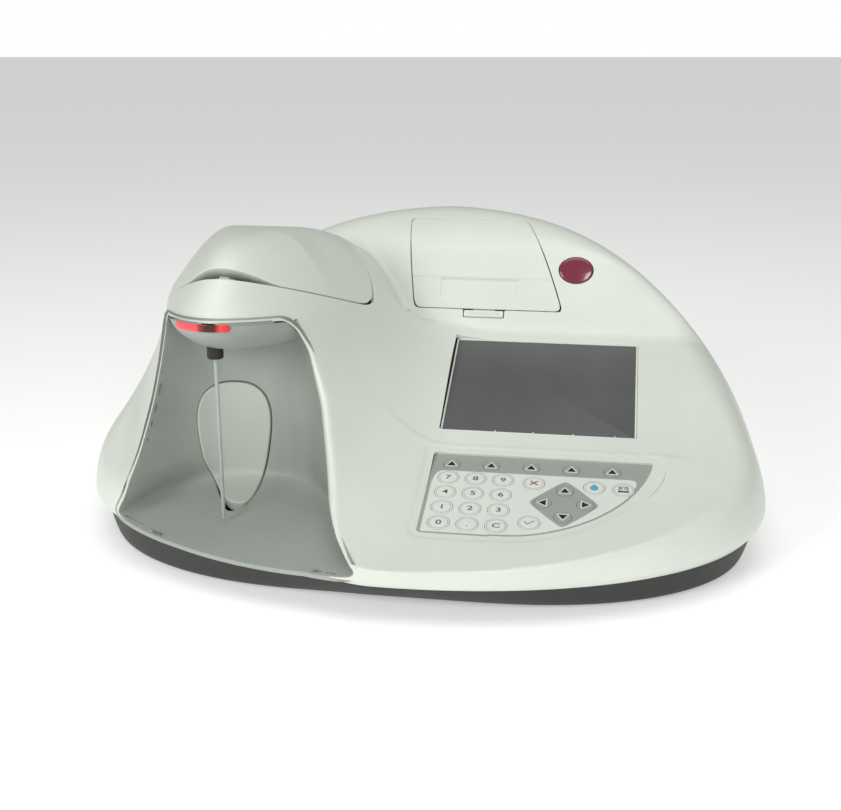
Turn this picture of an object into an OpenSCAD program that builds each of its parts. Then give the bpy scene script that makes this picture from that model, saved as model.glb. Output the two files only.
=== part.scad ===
// Bench-top analyser with a sampling head, a screen, a membrane keypad and a strip printer.
// Origin: middle of the footprint, on the surface it stands on. X right, Y back, Z up.

/* [Housing] */
// Width of the housing at its widest line
body_w = 424; // [400:1:440]
// Depth in front of the widest point
body_front = 134; // [126:1:142]
// Depth behind the widest point
body_rear = 216; // [205:1:225]
// Height of the widest line
rim_z = 33; // [30:0.5:36]
// Height of the joint between the housing and the base, at the right
seam_z = 20; // [18:0.5:22]
// Rise of that joint under the sampling bay
seam_rise = 5; // [3:0.5:6]
// Wall thickness of the moulded shells
wall = 3; // [2.5:0.1:3.6]
// Height of the dome over the printer
dome_top = 193; // [186:1:200]

/* [Base] */
// How far the foot of the base is set in from the widest line, at the sides
base_inset_side = 14; // [12:0.5:18]
// The same at the front
base_inset_front = 42; // [36:1:46]
// Thickness of the base floor
floor_t = 3; // [2.5:0.1:4]
// Diameter of a foot
foot_d = 16; // [12:0.5:20]

/* [Screen] */
// Width of the display window
screen_w = 118; // [100:0.5:122]
// Height of the display window
screen_h = 89; // [76:0.5:91]
// Slope of the screen
screen_tilt = 24.9; // [23:0.1:26]
// Middle of the screen, X
screen_x = 72.5; // [68:0.5:76]
// Middle of the screen, Y
screen_y = -8; // [-10:0.5:-6]
// Middle of the screen, Z
screen_z = 92; // [90:0.5:94]

/* [Keypad] */
// Slope of the keypad
keypad_tilt = 16; // [15:0.5:17]
// Diameter of a round key
key_d = 12.4; // [10:0.1:13]
// Distance between soft keys
soft_pitch = 23.8; // [20:0.1:24.5]
// Distance between columns of number keys
num_pitch_x = 16.2; // [14.4:0.1:17]
// Distance between rows of number keys
num_pitch_y = 14.3; // [13.4:0.1:14.6]

/* [Head] */
// X of the head's middle
head_x = -104; // [-108:0.5:-100]
// Height of the head's lower edge
head_edge_z = 150; // [146:0.5:154]
// Height of the head's top
head_top = 195; // [190:0.5:200]

/* [Sampling bay] */
// Y of the bay's back wall
bay_back = -56; // [-60:0.5:-52]
// Height of the bay's floor at its front edge
bay_floor_z = 24; // [23:0.5:26]
// Needle outer diameter
needle_d = 2.4; // [1.6:0.1:3]
// Height of the needle's tip
needle_tip_z = 30; // [30:0.5:60]
// Width of the aspiration button
egg_w = 41; // [36:0.5:50]
// Height of the aspiration button
egg_h = 77; // [60:0.5:80]

/* [Printer] */
// Diameter of a full paper roll
paper_d = 44; // [30:0.5:46]
// Width of the paper
paper_w = 57; // [50:0.5:58]
// Diameter of the platen roller
platen_d = 10; // [8:0.5:11]

/* [Clearances] */
// Gap round a cover or a button in its opening
gap = 0.6; // [0.4:0.05:0.9]
// Gap between two moulded pieces that are fixed together
seam_gap = 0.25; // [0.15:0.05:0.4]
// Radial clearance of a shaft in its bearing
run_fit = 0.05; // [0.02:0.01:0.1]
// Diameter of the hinge pins
pin_d = 3; // [2.5:0.1:4]

/* [Hidden] */
half_w = body_w / 2;
rim_y = (body_front - body_rear) / 2;
side_power = 1.6;
side_height = 185;
rear_power = 5;
flank_inset = 7;
dome_r = 80;
dome_y = 126;
dome_z = dome_top - dome_r;
step_y = 46;
step_slope = 2.6;
keypad_y = -77;
keypad_z = 61;
head_front = -137;
head_spread = 5.9;
head_crown = 80;
belly_depth = 16.5;
belly_reach = 32;
housing_white = [0.86, 0.885, 0.84];
panel_grey = [0.57, 0.59, 0.57];
button_grey = [0.76, 0.78, 0.74];
base_dark = [0.16, 0.165, 0.16];
// Directions of the housing's mesh lines, closest round the head
angles = concat([for (a = [0 : 4 : 28]) a], [for (a = [32 : 8 : 136]) a], [for (a = [141 : 4 : 285]) a],
    [for (a = [291 : 8 : 355]) a]);
around = len(angles);
window_deep = 1;
window_t = 1.5;
lcd_w = 130;
lcd_h = 98;
lcd_t = 9;
lcd_drop = 0.5;
egg_x = -116;
egg_z = 64;
egg_proud = 1.5;
stem_d = 8;
stem_l = 24;
switch_y = bay_back + 20;
spring_l = 15;
spring_wire = 1.2;
needle_x = -109.5;
needle_y = -110;
hub_d = 9.5;
hub_z = 129;
deck_z = 152;
deck_back = 26;
cell_x = head_x;
cell_y = -30;
cell_z = 126;
cell_w = 12.5;
cell_h = 30;
light_z = 139;
pump_x = head_x - 4;
pump_y = 10;
pump_z = 78;
rotor_d = 34;
base_z = 1.2;
foot_deep = 1.8;
foot_places = [[110, -85], [-110, -85], [110, 110], [-110, 110]];
screw_places = [[165, -60], [140, 110], [-140, 110], [-172, 15]];
boss_z = 14;
screw_head_z = 4;
screw_l = 22;
board_z = 12;
board_posts = [[0, -60], [140, -60], [0, 50], [140, 50]];
inlet_x = 60;
inlet_y = 163.5;
inlet_z = 31;
waste_x = -120;
waste_y = 156;
waste_z = 45;
pin_depth = 4.6;
knuckle_x = 14;
light_h = 4.3;
head_lug_x = 22.6;
printer_lug_x = 27.1;
cheek_x = 31;
cover_mid = 18;
latch_mid = 28;
latch_w = 27;
latch_h = 5;
$fn = 48;

// ---------- the housing's outer surface ----------
function clamp01(t) = max(0, min(1, t));
function soft_min(a, b, k) = let (h = clamp01(0.5 + 0.5 * (b - a) / k)) b + (a - b) * h - k * h * (1 - h);
function soft_max(a, b, k) = -soft_min(-a, -b, k);
function ramp(v, a, b) = let (t = clamp01((v - a) / (b - a))) t * t * (3 - 2 * t);
function mix(a, b, t) = a + (b - a) * t;

// 1 at the middle of the plan, 0 on the widest line
function inside_rim(x, y) =
    let (q = (y - rim_y) / (y < rim_y ? body_front : body_rear),
         v = y < rim_y ? 1 - pow(1 - clamp01(q * q), side_power / 2) : pow(clamp01(q), rear_power))
    clamp01(1 - pow(abs(x / half_w), side_power) - v);

function side_surface(x, y) = rim_z + side_height * pow(inside_rim(x, y), 1 / side_power);
function screen_plane(y) = screen_z + (y - screen_y) * tan(screen_tilt);
function keypad_plane(y) = keypad_z + (y - keypad_y) * tan(keypad_tilt);
function dome(y) = let (u = clamp01(min((dome_y - y) / dome_r, 0.97))) dome_z + dome_r * sqrt(1 - u * u);
function face(y) =
    let (slope = soft_max(screen_plane(y), keypad_plane(y), 6),
         step_z = screen_plane(step_y) + 1)
    soft_min(soft_max(slope, step_z + (y - step_y) * step_slope, 12), dome(y), 8);

// Distance inwards from the head's outline, which is a parabola in plan
function head_in(x, y) =
    let (u = (x - head_x) / head_spread)
    (y - head_front - u * u) / sqrt(1 + pow(2 * u / head_spread, 2));

function crown_top(y) = head_top - 0.002 * pow(max(y, -60) + 60, 2);
function skin_z(x, y) =
    let (pebble = soft_min(side_surface(x, y), face(y), 20),
         d = head_in(x, y),
         r = ramp(y, head_front, -30),
         right = ramp(x, head_x - 20, head_x + 20),
         m = mix(2.9, min(4.2, (5.5 - 3.6 * r) * head_crown / 45), right),
         reach = mix(34, 60 - 12 * r, right),
         power = mix(2.4, 2.6 - 1.1 * r, right),
         edge = mix(head_edge_z, rim_z, ramp(y, -10, 160)),
         crown = edge + (crown_top(y) - edge) * (1 - pow(1 - clamp01(d / head_crown), m)),
         flank = pebble + (edge - pebble) * pow(clamp01(1 + d / reach), power),
         head = d > 0 ? soft_max(crown, pebble, 12) : max(flank, pebble),
         fade = mix(1, ramp(inside_rim(x, y), 0, 0.25), ramp(y, rim_y, 30)))
    mix(pebble, head, fade);

// Plan radius from the widest point's Y, in direction a, by bisection
function rim_radius(a, lo = 0, hi = 400, n = 22) =
    let (m = (lo + hi) / 2)
    n == 0 ? m
    : inside_rim(m * cos(a), rim_y + m * sin(a)) > 0 ? rim_radius(a, m, hi, n - 1)
    : rim_radius(a, lo, m, n - 1);

function seam_height(x) = seam_z + seam_rise * ramp(-x, 8, 58);
// Mesh rings lie closest where the surface bends most: at the step of the dome and round the head
rings_in = 5;
rings_mid = 9;
rings_out = 8;
function bend_in(a, r) = sin(a) > 0 ? min((step_y - 1 - rim_y) / sin(a), 0.8 * r)
    : r * lookup(a, [[180, 0.8], [205, 0.5], [285, 0.5], [330, 0.8]]);
function bend_out(a, r) = sin(a) > 0 ? min((step_y + 22 - rim_y) / sin(a), 0.9 * r)
    : r * lookup(a, [[180, 0.9], [205, 0.86], [285, 0.86], [330, 0.9]]);
function ring_r(a, r, j) =
    j <= rings_in ? bend_in(a, r) * j / rings_in
    : j <= rings_in + rings_mid ? mix(bend_in(a, r), bend_out(a, r), (j - rings_in) / rings_mid)
    : mix(bend_out(a, r), r, sin(90 * (j - rings_in - rings_mid) / rings_out));
function skin_point(a, r) =
    let (x = r * cos(a), y = rim_y + r * sin(a))
    [x, y, skin_z(x, y)];
// Point at depth w under the skin, measured square to it
function under(p, w) =
    let (e = 0.5,
         gx = (skin_z(p.x + e, p.y) - skin_z(p.x - e, p.y)) / (2 * e),
         gy = (skin_z(p.x, p.y + e) - skin_z(p.x, p.y - e)) / (2 * e),
         l = sqrt(1 + gx * gx + gy * gy))
    [p.x + w * gx / l, p.y + w * gy / l, p.z - w / l];
rims = [for (a = angles) rim_radius(a)];

// Ring below the widest line: k = 0 on it, k = 1 at the joint with the base
function flank_ring(k, w, drop = 0) = [for (i = [0 : around - 1])
    let (a = angles[i], r = rims[i] - w - flank_inset * k * k, x = r * cos(a))
    [x, rim_y + r * sin(a), mix(rim_z, seam_height(x) - drop, k)]];

function skin_rings(w, reach) = [for (j = [1 : rings_in + rings_mid + rings_out]) [for (i = [0 : around - 1])
    under(skin_point(angles[i], reach * ring_r(angles[i], rims[i], j)), w)]];

// One closed solid from a stack of rings, with a middle point at each end
module ringed(first, rings, last) {
    n = len(rings[0]);
    m = len(rings);
    points = concat([first], [for (r = rings) each r], [last]);
    faces = concat(
        [for (i = [0 : n - 1]) [0, 1 + (i + 1) % n, 1 + i]],
        [for (j = [0 : m - 2], i = [0 : n - 1])
            [1 + j * n + i, 1 + j * n + (i + 1) % n, 1 + (j + 1) * n + (i + 1) % n, 1 + (j + 1) * n + i]],
        [for (i = [0 : n - 1]) [1 + m * n, 1 + (m - 1) * n + i, 1 + (m - 1) * n + (i + 1) % n]]);
    polyhedron(points, faces, convexity = 10);
}

// Keeps a freeform shell together as one surface
module moulded() { resize([0, 0, 0]) children(); }

// Everything inside the housing's outer surface, w under it
module body_fill(w = 0, drop = 0) {
    mid = [0, rim_y, skin_z(0, rim_y) - w];
    low = [0, rim_y, seam_z + seam_rise - drop];
    ringed(mid, concat(skin_rings(w, w > 0 ? 0.996 : 1),
        [for (k = [0.35, 0.7, 1]) flank_ring(k, w, k == 1 ? drop : 0)]), low);
}

module shell() {
    difference() {
        body_fill();
        body_fill(wall, 1);
    }
}

// ---------- the sampling bay ----------
function bay_left(z) = lookup(z, [[20, -181], [27, -174], [33, -165], [41, -156.5], [50, -153], [80, -159],
    [110, -157], [135, -152], [150, -150]]);
function bay_right(z) = lookup(z, [[10, 6], [18, -8], [24, -15], [33, -31], [41, -39], [52, -43], [100, -44.3],
    [130, -50.5], [150, -62]]);
function bay_foot(z) = 102 * pow(max(0, (50 - z) / (50 - bay_floor_z)), 5);
function bay_wall(x, z) =
    let (a = bay_left(z), b = bay_right(z),
         s = (x - (a + b) / 2) / ((b - a) / 2),
         side = (s < 0 ? 38 : 62) * pow(abs(s), 3.2))
    bay_back - bay_foot(z) - side;
function ceiling(y) = head_edge_z - 1.5 - 0.13 * (y + 85);

bay_ss = [-1.6, -1.4, -1.2, -1.05, -0.9, -0.7, -0.45, -0.2, 0, 0.2, 0.4, 0.55, 0.7, 0.82, 0.92, 1.02, 1.12, 1.24, 1.4, 1.6];
bay_zs = concat([bay_floor_z - 4, bay_floor_z - 2], [for (k = [0 : 8]) bay_floor_z + 26 * pow(k / 8, 1.5)],
    [for (z = [60 : 11 : 104]) z], [118, 132, 146, 168]);

// Point of the bay's wall at share s of its half width and height z, moved w into the body
function bay_point(s, z, w) =
    let (a = bay_left(z), b = bay_right(z), x = (a + b) / 2 + s * (b - a) / 2, y = bay_wall(x, z), e = 0.3,
         gx = (bay_wall(x + e, z) - bay_wall(x - e, z)) / (2 * e),
         gz = (bay_wall(x, z + e) - bay_wall(x, z - e)) / (2 * e),
         l = sqrt(1 + gx * gx + gz * gz))
    [x - w * gx / l, y + w / l, z - w * gz / l];

function bay_sheet(w) = [for (z = bay_zs) each [for (s = bay_ss) bay_point(s, z, w)]];

// Solid between two sheets of nz rows and nx points, the first on the side of -Y
module between(first, second, nx, nz) {
    n = nx * nz;
    function quad(a, b, c, d) = [[a, b, c], [a, c, d]];
    faces = concat(
        [for (j = [0 : nz - 2], i = [0 : nx - 2]) let (k = j * nx + i) each quad(k, k + nx, k + nx + 1, k + 1)],
        [for (j = [0 : nz - 2], i = [0 : nx - 2]) let (k = n + j * nx + i) each quad(k, k + 1, k + nx + 1, k + nx)],
        [for (i = [0 : nx - 2]) each quad(i, i + 1, n + i + 1, n + i)],
        [for (i = [0 : nx - 2]) let (k = n - nx + i) each quad(k, n + k, n + k + 1, k + 1)],
        [for (j = [0 : nz - 2]) let (k = j * nx) each quad(k, n + k, n + k + nx, k + nx)],
        [for (j = [0 : nz - 2]) let (k = j * nx + nx - 1) each quad(k, k + nx, n + k + nx, n + k)]);
    polyhedron(concat(first, second), faces, convexity = 10);
}
module bay_slab(from, to) {
    between(bay_sheet(from), bay_sheet(to), len(bay_ss), len(bay_zs));
}
// Everything in front of the bay's wall moved by w
module bay_front(w = 0) {
    sheet = bay_sheet(w);
    between([for (p = sheet) [p.x, -420, p.z]], sheet, len(bay_ss), len(bay_zs));
}

// Half-space under the head's lower edge, lowered by d
module below_ceiling(d = 0) {
    slope = atan(0.13);
    translate([head_x, -85, ceiling(-85) - d]) rotate([-slope, 0, 0]) translate([-150, -250, -220]) cube([300, 420, 220]);
}

// ---------- openings and places ----------
head_pin_y = 31;
head_pin_z = crown_top(head_pin_y) - pin_depth;
head_end_y = head_pin_y + 2.4;
head_back_gap = 2.4;
cover_back_gap = 1.1;
lid_back = 53.4;
lid_half = 69;
function parting(y) = 135.5 - 0.35 * y;

// Room of the head cover: above its parting plane, in front of its rounded back edge
module head_cover_room(g = 0, back_g = 0) {
    slope = atan(0.35);
    intersection() {
        translate([head_x, 0, parting(0) + g]) rotate([-slope, 0, 0]) translate([-120, -200, 0]) cube([240, 300, 120]);
        union() {
            translate([head_x, head_end_y - lid_back, 90]) scale([lid_half - g, lid_back - back_g, 1])
                cylinder(r = 1, h = 140, $fn = 56);
            translate([head_x - lid_half + g, -220, 90]) cube([2 * (lid_half - g), 220 + head_end_y - lid_back, 140]);
        }
    }
}

// Frame that looks square onto the dome's front, for the printer cover
cover_look = 50;
cover_y0 = 50;
cover_z0 = 127;
module on_dome() { translate([0, cover_y0, cover_z0]) rotate([cover_look, 0, 0]) children(); }
cover_outline = [[-20.6, 0], [82, 0], [75.6, 22.8], [63, 51], [55.5, 68], [-28, 68], [-26, 34]];
module cover_plate(g, back_g) {
    offset(r = 4) offset(delta = -4 - g) polygon([for (p = cover_outline) [p.x, p.y + (p.y > 60 ? g - back_g : 0)]]);
}
module printer_cover_room(g = 0, back_g = 0) {
    on_dome() translate([0, 0, -40]) linear_extrude(90) cover_plate(g, back_g);
}
// The cover's back edge on the dome, and the pin under it
cover_edge_y = 88.4;
cover_edge_lean = asin((dome_y - cover_edge_y) / dome_r);
printer_pin_y = cover_edge_y - 1.2 * cos(cover_edge_lean) + pin_depth * sin(cover_edge_lean);
printer_pin_z = dome(cover_edge_y) - 1.2 * sin(cover_edge_lean) - pin_depth * cos(cover_edge_lean);
paper_y = 105;
paper_z = dome_top - 43;
platen_y = 72;
platen_z = dome_top - 50;
latch_z = -1.8;
// The latch's catch under the cover
catch_in = 6;
catch_z = -5.4;
catch_t = 1.8;
// Side plate of the printer, Y against Z
cheek = [[62, base_z + floor_t + seam_gap], [130, base_z + floor_t + seam_gap], [124, 60], [124, paper_z + 4],
    [112, paper_z + 20], [printer_pin_y + 4, printer_pin_z - 5], [printer_pin_y - 5, printer_pin_z - 6],
    [platen_y - 3, platen_z + 14], [platen_y - 7, platen_z + 5], [platen_y - 7, platen_z - 10], [76, 60]];
badge_x = 89.3;
badge_y = 60.2;
badge_tilt = 66.4;
badge_w = 23;
badge_h = 18;

// Frames on the screen and on the keypad: X across, Y up the slope, Z out of the surface
module on_screen() { translate([screen_x, screen_y, screen_z]) rotate([screen_tilt, 0, 0]) children(); }
module on_keypad() { translate([0, keypad_y, keypad_z]) rotate([keypad_tilt, 0, 0]) children(); }

// Overlay: straight at the top and left, one arc round the lower right
pad_left = 12;
pad_right = 143.5;
pad_top = 9;
pad_bottom = -66.5;
pad_arc = [52, 26];
pad_arc_r = 92.6;
module pad_outline() {
    offset(r = 3) offset(delta = -3) intersection() {
        translate([pad_left, pad_bottom]) square([pad_right - pad_left, pad_top - pad_bottom]);
        union() {
            translate(pad_arc) circle(pad_arc_r, $fn = 96);
            translate([pad_left, pad_bottom]) square([pad_arc.x - pad_left, pad_top - pad_bottom]);
        }
    }
}
num_x = 23.4;
num_y = -14;
soft_x = 23.7;
arrow_mid = [92.3, -33.5];
arrow_step = 12.2;
soft_d = 10;
arrow_d = 10;
digit_names = [["7", "8", "9"], ["4", "5", "6"], ["1", "2", "3"], ["0", "dot", "clear"]];
// Every key: name, place on the keypad, diameter
KEYS = concat(
    [for (i = [0 : 4]) [str("soft_key_", i + 1), [soft_x + soft_pitch * i, -0.4], soft_d]],
    [for (r = [0 : 3], c = [0 : 2])
        [str("key_", digit_names[r][c]), [num_x + num_pitch_x * c, num_y - num_pitch_y * r], key_d]],
    [["key_cancel", [74, -15.4], key_d], ["key_confirm", [73.9, -52.5], key_d],
     ["key_wash", [108.9, -16.6], key_d], ["key_print", [125.6, -17.2], key_d],
     ["arrow_up", arrow_mid + [0, arrow_step], arrow_d], ["arrow_down", arrow_mid - [0, arrow_step], arrow_d],
     ["arrow_left", arrow_mid - [arrow_step, 0], arrow_d], ["arrow_right", arrow_mid + [arrow_step, 0], arrow_d]]);

overlay_t = 0.8;
key_proud = 0.35;
key_skirt = 1.6;

module key_cap(k) {
    color([0.9, 0.92, 0.89]) on_keypad() translate([k[1].x, k[1].y, -key_skirt])
        cylinder(d = k[2], h = key_skirt + key_proud);
}

// ---------- moulded shells ----------
module upper_housing() {
    color(housing_white) moulded() difference() {
        union() {
            shell();
            screw_bosses();
        }
        intersection() {
            bay_front();
            below_ceiling();
        }
        head_cover_room();
        printer_cover_room();
        hinge_room(head_x, head_pin_y, head_pin_z, 29);
        hinge_room(13, printer_pin_y, printer_pin_z, 45);
        on_screen() translate([0, 0, -window_deep - window_t - 8]) linear_extrude(40)
            square([screen_w + 2 * seam_gap, screen_h + 2 * seam_gap], center = true);
        on_keypad() translate([0, 0, -overlay_t]) linear_extrude(12) offset(delta = seam_gap) pad_outline();
        key_openings(gap);
        on_dome() translate([latch_mid - latch_w / 2 - gap, -latch_h - gap, -12]) cube([latch_w + 2 * gap, latch_h + 2 * gap, 30]);
        rear_openings();
        badge_place() translate([0, 0, -1.2]) linear_extrude(20) badge_outline(seam_gap);
    }
}

module screw_bosses() {
    difference() {
        intersection() {
            body_fill(1, 8);
            for (p = screw_places) translate([p.x, p.y, boss_z]) cylinder(d = 9, h = 200, $fn = 12);
        }
        for (p = screw_places) translate([p.x, p.y, boss_z - 1]) cylinder(d = 3.4, h = 15, $fn = 12);
    }
}

module base_tray() {
    color(base_dark) moulded() difference() {
        union() {
            difference() {
                ringed([0, rim_y, seam_z - seam_gap], [base_rim(0, -seam_gap), base_ring(0.75, 0, seam_z * 0.62),
                    base_ring(0.35, 0, base_z + 4), base_ring(0, 0, base_z)], [0, rim_y, base_z]);
                ringed([0, rim_y, seam_z + seam_rise], [base_rim(wall, 1), base_ring(0.75, wall, seam_z * 0.66),
                    base_ring(0.35, wall, base_z + floor_t + 2), base_ring(0.2, wall, base_z + floor_t)],
                    [0, rim_y, base_z + floor_t]);
            }
            for (p = board_posts) translate([p.x, p.y, base_z + 1]) cylinder(d = 8, h = board_z - base_z - 1, $fn = 16);
            for (p = screw_places) translate([p.x, p.y, base_z + 1]) cylinder(d = 12, h = boss_z - base_z - 1 - seam_gap, $fn = 20);
        }
        bay_front(wall + seam_gap);
        for (p = screw_places) translate([p.x, p.y, -1]) {
            cylinder(d = 3.4, h = 20, $fn = 12);
            cylinder(d = 6.6, h = 1 + screw_head_z + 2.4, $fn = 20);
        }
        for (p = foot_places) translate([p.x, p.y, -1]) cylinder(d = foot_d + 0.3, h = 1 + base_z + foot_deep, $fn = 32);
    }
}
// Ring of the base: k = 0 at the floor, k = 1 at the joint
function base_inset(a, k) = let (front = max(0, -sin(a)))
    mix(mix(base_inset_side, base_inset_front, front * front), flank_inset, pow(k, 0.8));
function base_ring(k, w, z) = [for (i = [0 : around - 1])
    let (a = angles[i], r = rims[i] - base_inset(a, k) - w) [r * cos(a), rim_y + r * sin(a), z]];
function base_rim(w, up) = [for (i = [0 : around - 1])
    let (a = angles[i], r = rims[i] - flank_inset - w, x = r * cos(a)) [x, rim_y + r * sin(a), seam_height(x) + up]];

module sample_bay_panel() {
    color(panel_grey) moulded() difference() {
        intersection() {
            bay_slab(0, wall);
            union() {
                body_fill(wall + seam_gap, 1);
                skirt();
            }
            below_ceiling(seam_gap);
        }
        egg_prism(gap);
    }
}
// Band outside the housing's lower edge that the bay's floor reaches
module skirt() {
    low = [for (p = flank_ring(1, 0)) [p.x, p.y, p.z - 9]];
    high = [for (p = flank_ring(1, 0)) [p.x, p.y, p.z - seam_gap]];
    ringed([0, rim_y, seam_z + seam_rise - seam_gap], [high, low], [0, rim_y, seam_z - 9]);
}
module egg_prism(g) {
    translate([egg_x, 50, egg_z]) rotate([90, 0, 0]) linear_extrude(260) egg_outline(g);
}
// Egg: a superellipse that widens towards the top
egg_power = 2.6;
egg_taper = 0.28;
egg_mid = 61;
function egg_share(v) = sign(v) * pow(abs(v), 2 / egg_power);
// The outline's heights are measured along the wall, so it stretches where the wall sweeps into the floor
egg_drop = 0.305;
egg_drift = 0.3;
function egg_true_z(h, low, high, n) =
    let (z = (low + high) / 2)
    n == 0 ? z : z - egg_drop * bay_foot(z) > h ? egg_true_z(h, low, z, n - 1) : egg_true_z(h, z, high, n - 1);
module egg_outline(g) {
    n = 40;
    polygon([for (i = [0 : n - 1]) let (t = 360 * i / n, s = egg_share(sin(t)),
        z = egg_true_z(egg_mid + (egg_h / 2 + g) * s, bay_floor_z, 140, 16))
        [egg_drift * bay_foot(z) + (egg_w / 2 + g) * egg_share(cos(t)) * (1 + egg_taper * s), z - egg_z]]);
}
module aspiration_button() {
    color(button_grey) moulded() union() {
        intersection() {
            bay_slab(-egg_proud, 5);
            egg_prism(0);
        }
        translate([egg_x, bay_back + 1, egg_z]) rotate([-90, 0, 0]) cylinder(d = stem_d, h = stem_l, $fn = 24);
    }
}

// Bowl under the head: deepest away from the head's outline
function bowl(x, y) = ceiling(y) - 0.9 - belly_depth * sqrt(1 - pow(1 - clamp01((head_in(x, y) - 0.9) / belly_reach), 2));
module nose_underside() {
    ny = 12;
    nx = 14;
    y0 = head_front + 1.2;
    y1 = bay_back + 8;
    ys = [for (i = [0 : ny]) y0 + (y1 - y0) * pow(i / ny, 1.7)];
    low = [for (y = ys) each [for (j = [0 : nx])
        let (x = head_x + sin(180 * j / nx - 90) * (head_spread * sqrt(y - head_front) - 1)) [x, y, bowl(x, y)]]];
    high = [for (p = low) [p.x, p.y, min(ceiling(p.y) - seam_gap, p.z + 2.4)]];
    color(panel_grey) moulded() difference() {
        intersection() {
            between(high, low, nx + 1, ny + 1);
            bay_front(-seam_gap);
        }
        translate([needle_x, needle_y, 100]) cylinder(d = hub_d + 2 * seam_gap, h = 80, $fn = 32);
        light_strip(seam_gap);
    }
}

// ---------- covers with hinges ----------
knuckle_r = 3;
knuckle_w = 11;
lug_w = 5;
// Space that a cover's back edge turns through
module hinge_room(x, y, z, half) {
    translate([x - half, y, z]) rotate([0, 90, 0]) cylinder(r = pin_depth + 1.2, h = 2 * half, $fn = 40);
}
module along_x(x, y, z, w, d, fn = 48) {
    translate([x - w / 2, y, z]) rotate([0, 90, 0]) cylinder(d = d, h = w, $fn = fn);
}
module knuckles(x, y, z, dirs) {
    for (s = [-1, 1]) hull() {
        along_x(x + s * knuckle_x, y, z, knuckle_w, 2 * knuckle_r, 24);
        translate([x + s * knuckle_x - knuckle_w / 2, y + dirs.x, z + dirs.y]) cube([knuckle_w, 4, 1]);
    }
}
module head_cover() {
    color(housing_white) moulded() difference() {
        union() {
            difference() {
                intersection() {
                    shell();
                    head_cover_room(gap, head_back_gap);
                }
                for (s = [-1, 1]) along_x(head_x + s * head_lug_x, head_pin_y, head_pin_z, lug_w + 1.4, 2 * knuckle_r + 1.2);
            }
            knuckles(head_x, head_pin_y, head_pin_z, [-6, 1.9]);
        }
        along_x(head_x, head_pin_y, head_pin_z, 80, pin_d + 0.06);
    }
}
module printer_cover() {
    color(housing_white) moulded() difference() {
        union() {
            difference() {
                intersection() {
                    shell();
                    printer_cover_room(gap, cover_back_gap);
                }
                for (s = [-1, 1]) along_x(cover_mid + s * printer_lug_x, printer_pin_y, printer_pin_z,
                    lug_w + 1.4, 2 * knuckle_r + 1.2);
            }
            knuckles(cover_mid, printer_pin_y, printer_pin_z, [-8.5, -0.8]);
        }
        along_x(cover_mid, printer_pin_y, printer_pin_z, 80, pin_d + 0.06);
    }
}
module hinge_pin(x, y, z, l) {
    color([0.75, 0.75, 0.74]) translate([x - l / 2, y, z]) rotate([0, 90, 0]) cylinder(d = pin_d, h = l);
}
module head_cover_pin() { hinge_pin(head_x, head_pin_y, head_pin_z, 2 * head_lug_x + lug_w); }
module printer_cover_pin() { hinge_pin(cover_mid, printer_pin_y, printer_pin_z, 2 * printer_lug_x + lug_w); }
module printer_latch() {
    color(housing_white) on_dome() translate([latch_mid - latch_w / 2, -latch_h, latch_z]) union() {
        cube([latch_w, latch_h, 2.4]);
        translate([catch_in, 1, catch_z]) cube([latch_w - 2 * catch_in, 3, 0.01 - catch_z]);
        translate([catch_in, 1, catch_z]) cube([latch_w - 2 * catch_in, latch_h + 2, catch_t]);
    }
}

// ---------- head, needle and what measures ----------
module light_plan() {
    xs = [for (i = [0 : 10]) head_x - 24 + 3.6 * i];
    function inwards(x, d) = let (u = (x - head_x) / head_spread, s = 2 * u / head_spread, l = sqrt(1 + s * s))
        [x - d * s / l, head_front + u * u + d / l];
    polygon(concat([for (x = xs) inwards(x, -0.3)], [for (i = [len(xs) - 1 : -1 : 0]) inwards(xs[i], 2.4)]));
}
// Strip that follows the head's outline just under its edge
module light_strip(g = 0) {
    slope = atan(0.13);
    translate([0, -130, ceiling(-130) - light_h - seam_gap]) rotate([-slope, 0, 0]) translate([0, 130, -g])
        linear_extrude(light_h + 2 * g) offset(delta = g) light_plan();
}
module light_bar() {
    slope = atan(0.13);
    color([0.85, 0.25, 0.25]) translate([0, -130, ceiling(-130) - light_h - seam_gap]) rotate([-slope, 0, 0])
        translate([0, 130, 0]) linear_extrude(light_h) light_plan();
}

module head_deck() {
    color([0.3, 0.31, 0.3]) difference() {
        union() {
            translate([head_x - 30, -92, deck_z]) cube([60, 92 + deck_back, 3]);
            translate([cell_x - 14, cell_y - 14, cell_z - 1]) cube([28, 28, deck_z - cell_z + 1.5]);
            for (s = [-1, 1]) translate([head_x + s * 27.5 - 2.5, deck_back - 12, base_z + floor_t + seam_gap])
                cube([5, 12, deck_z - base_z - floor_t]);
            for (s = [-1, 1]) hinge_lug(head_x + s * head_lug_x, head_pin_y, head_pin_z, deck_z + 1, deck_back - 9);
        }
        translate([cell_x - cell_w / 2 - 0.2, cell_y - cell_w / 2 - 0.2, cell_z]) cube([cell_w + 0.4, cell_w + 0.4, 60]);
        translate([cell_x - 30, cell_y, light_z]) rotate([0, 90, 0]) cylinder(d = 6, h = 60);
        for (s = [-1, 1]) translate([head_x + s * head_lug_x - 5, head_pin_y, head_pin_z]) rotate([0, 90, 0])
            cylinder(d = pin_d + 2 * run_fit, h = 10);
    }
}
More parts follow.
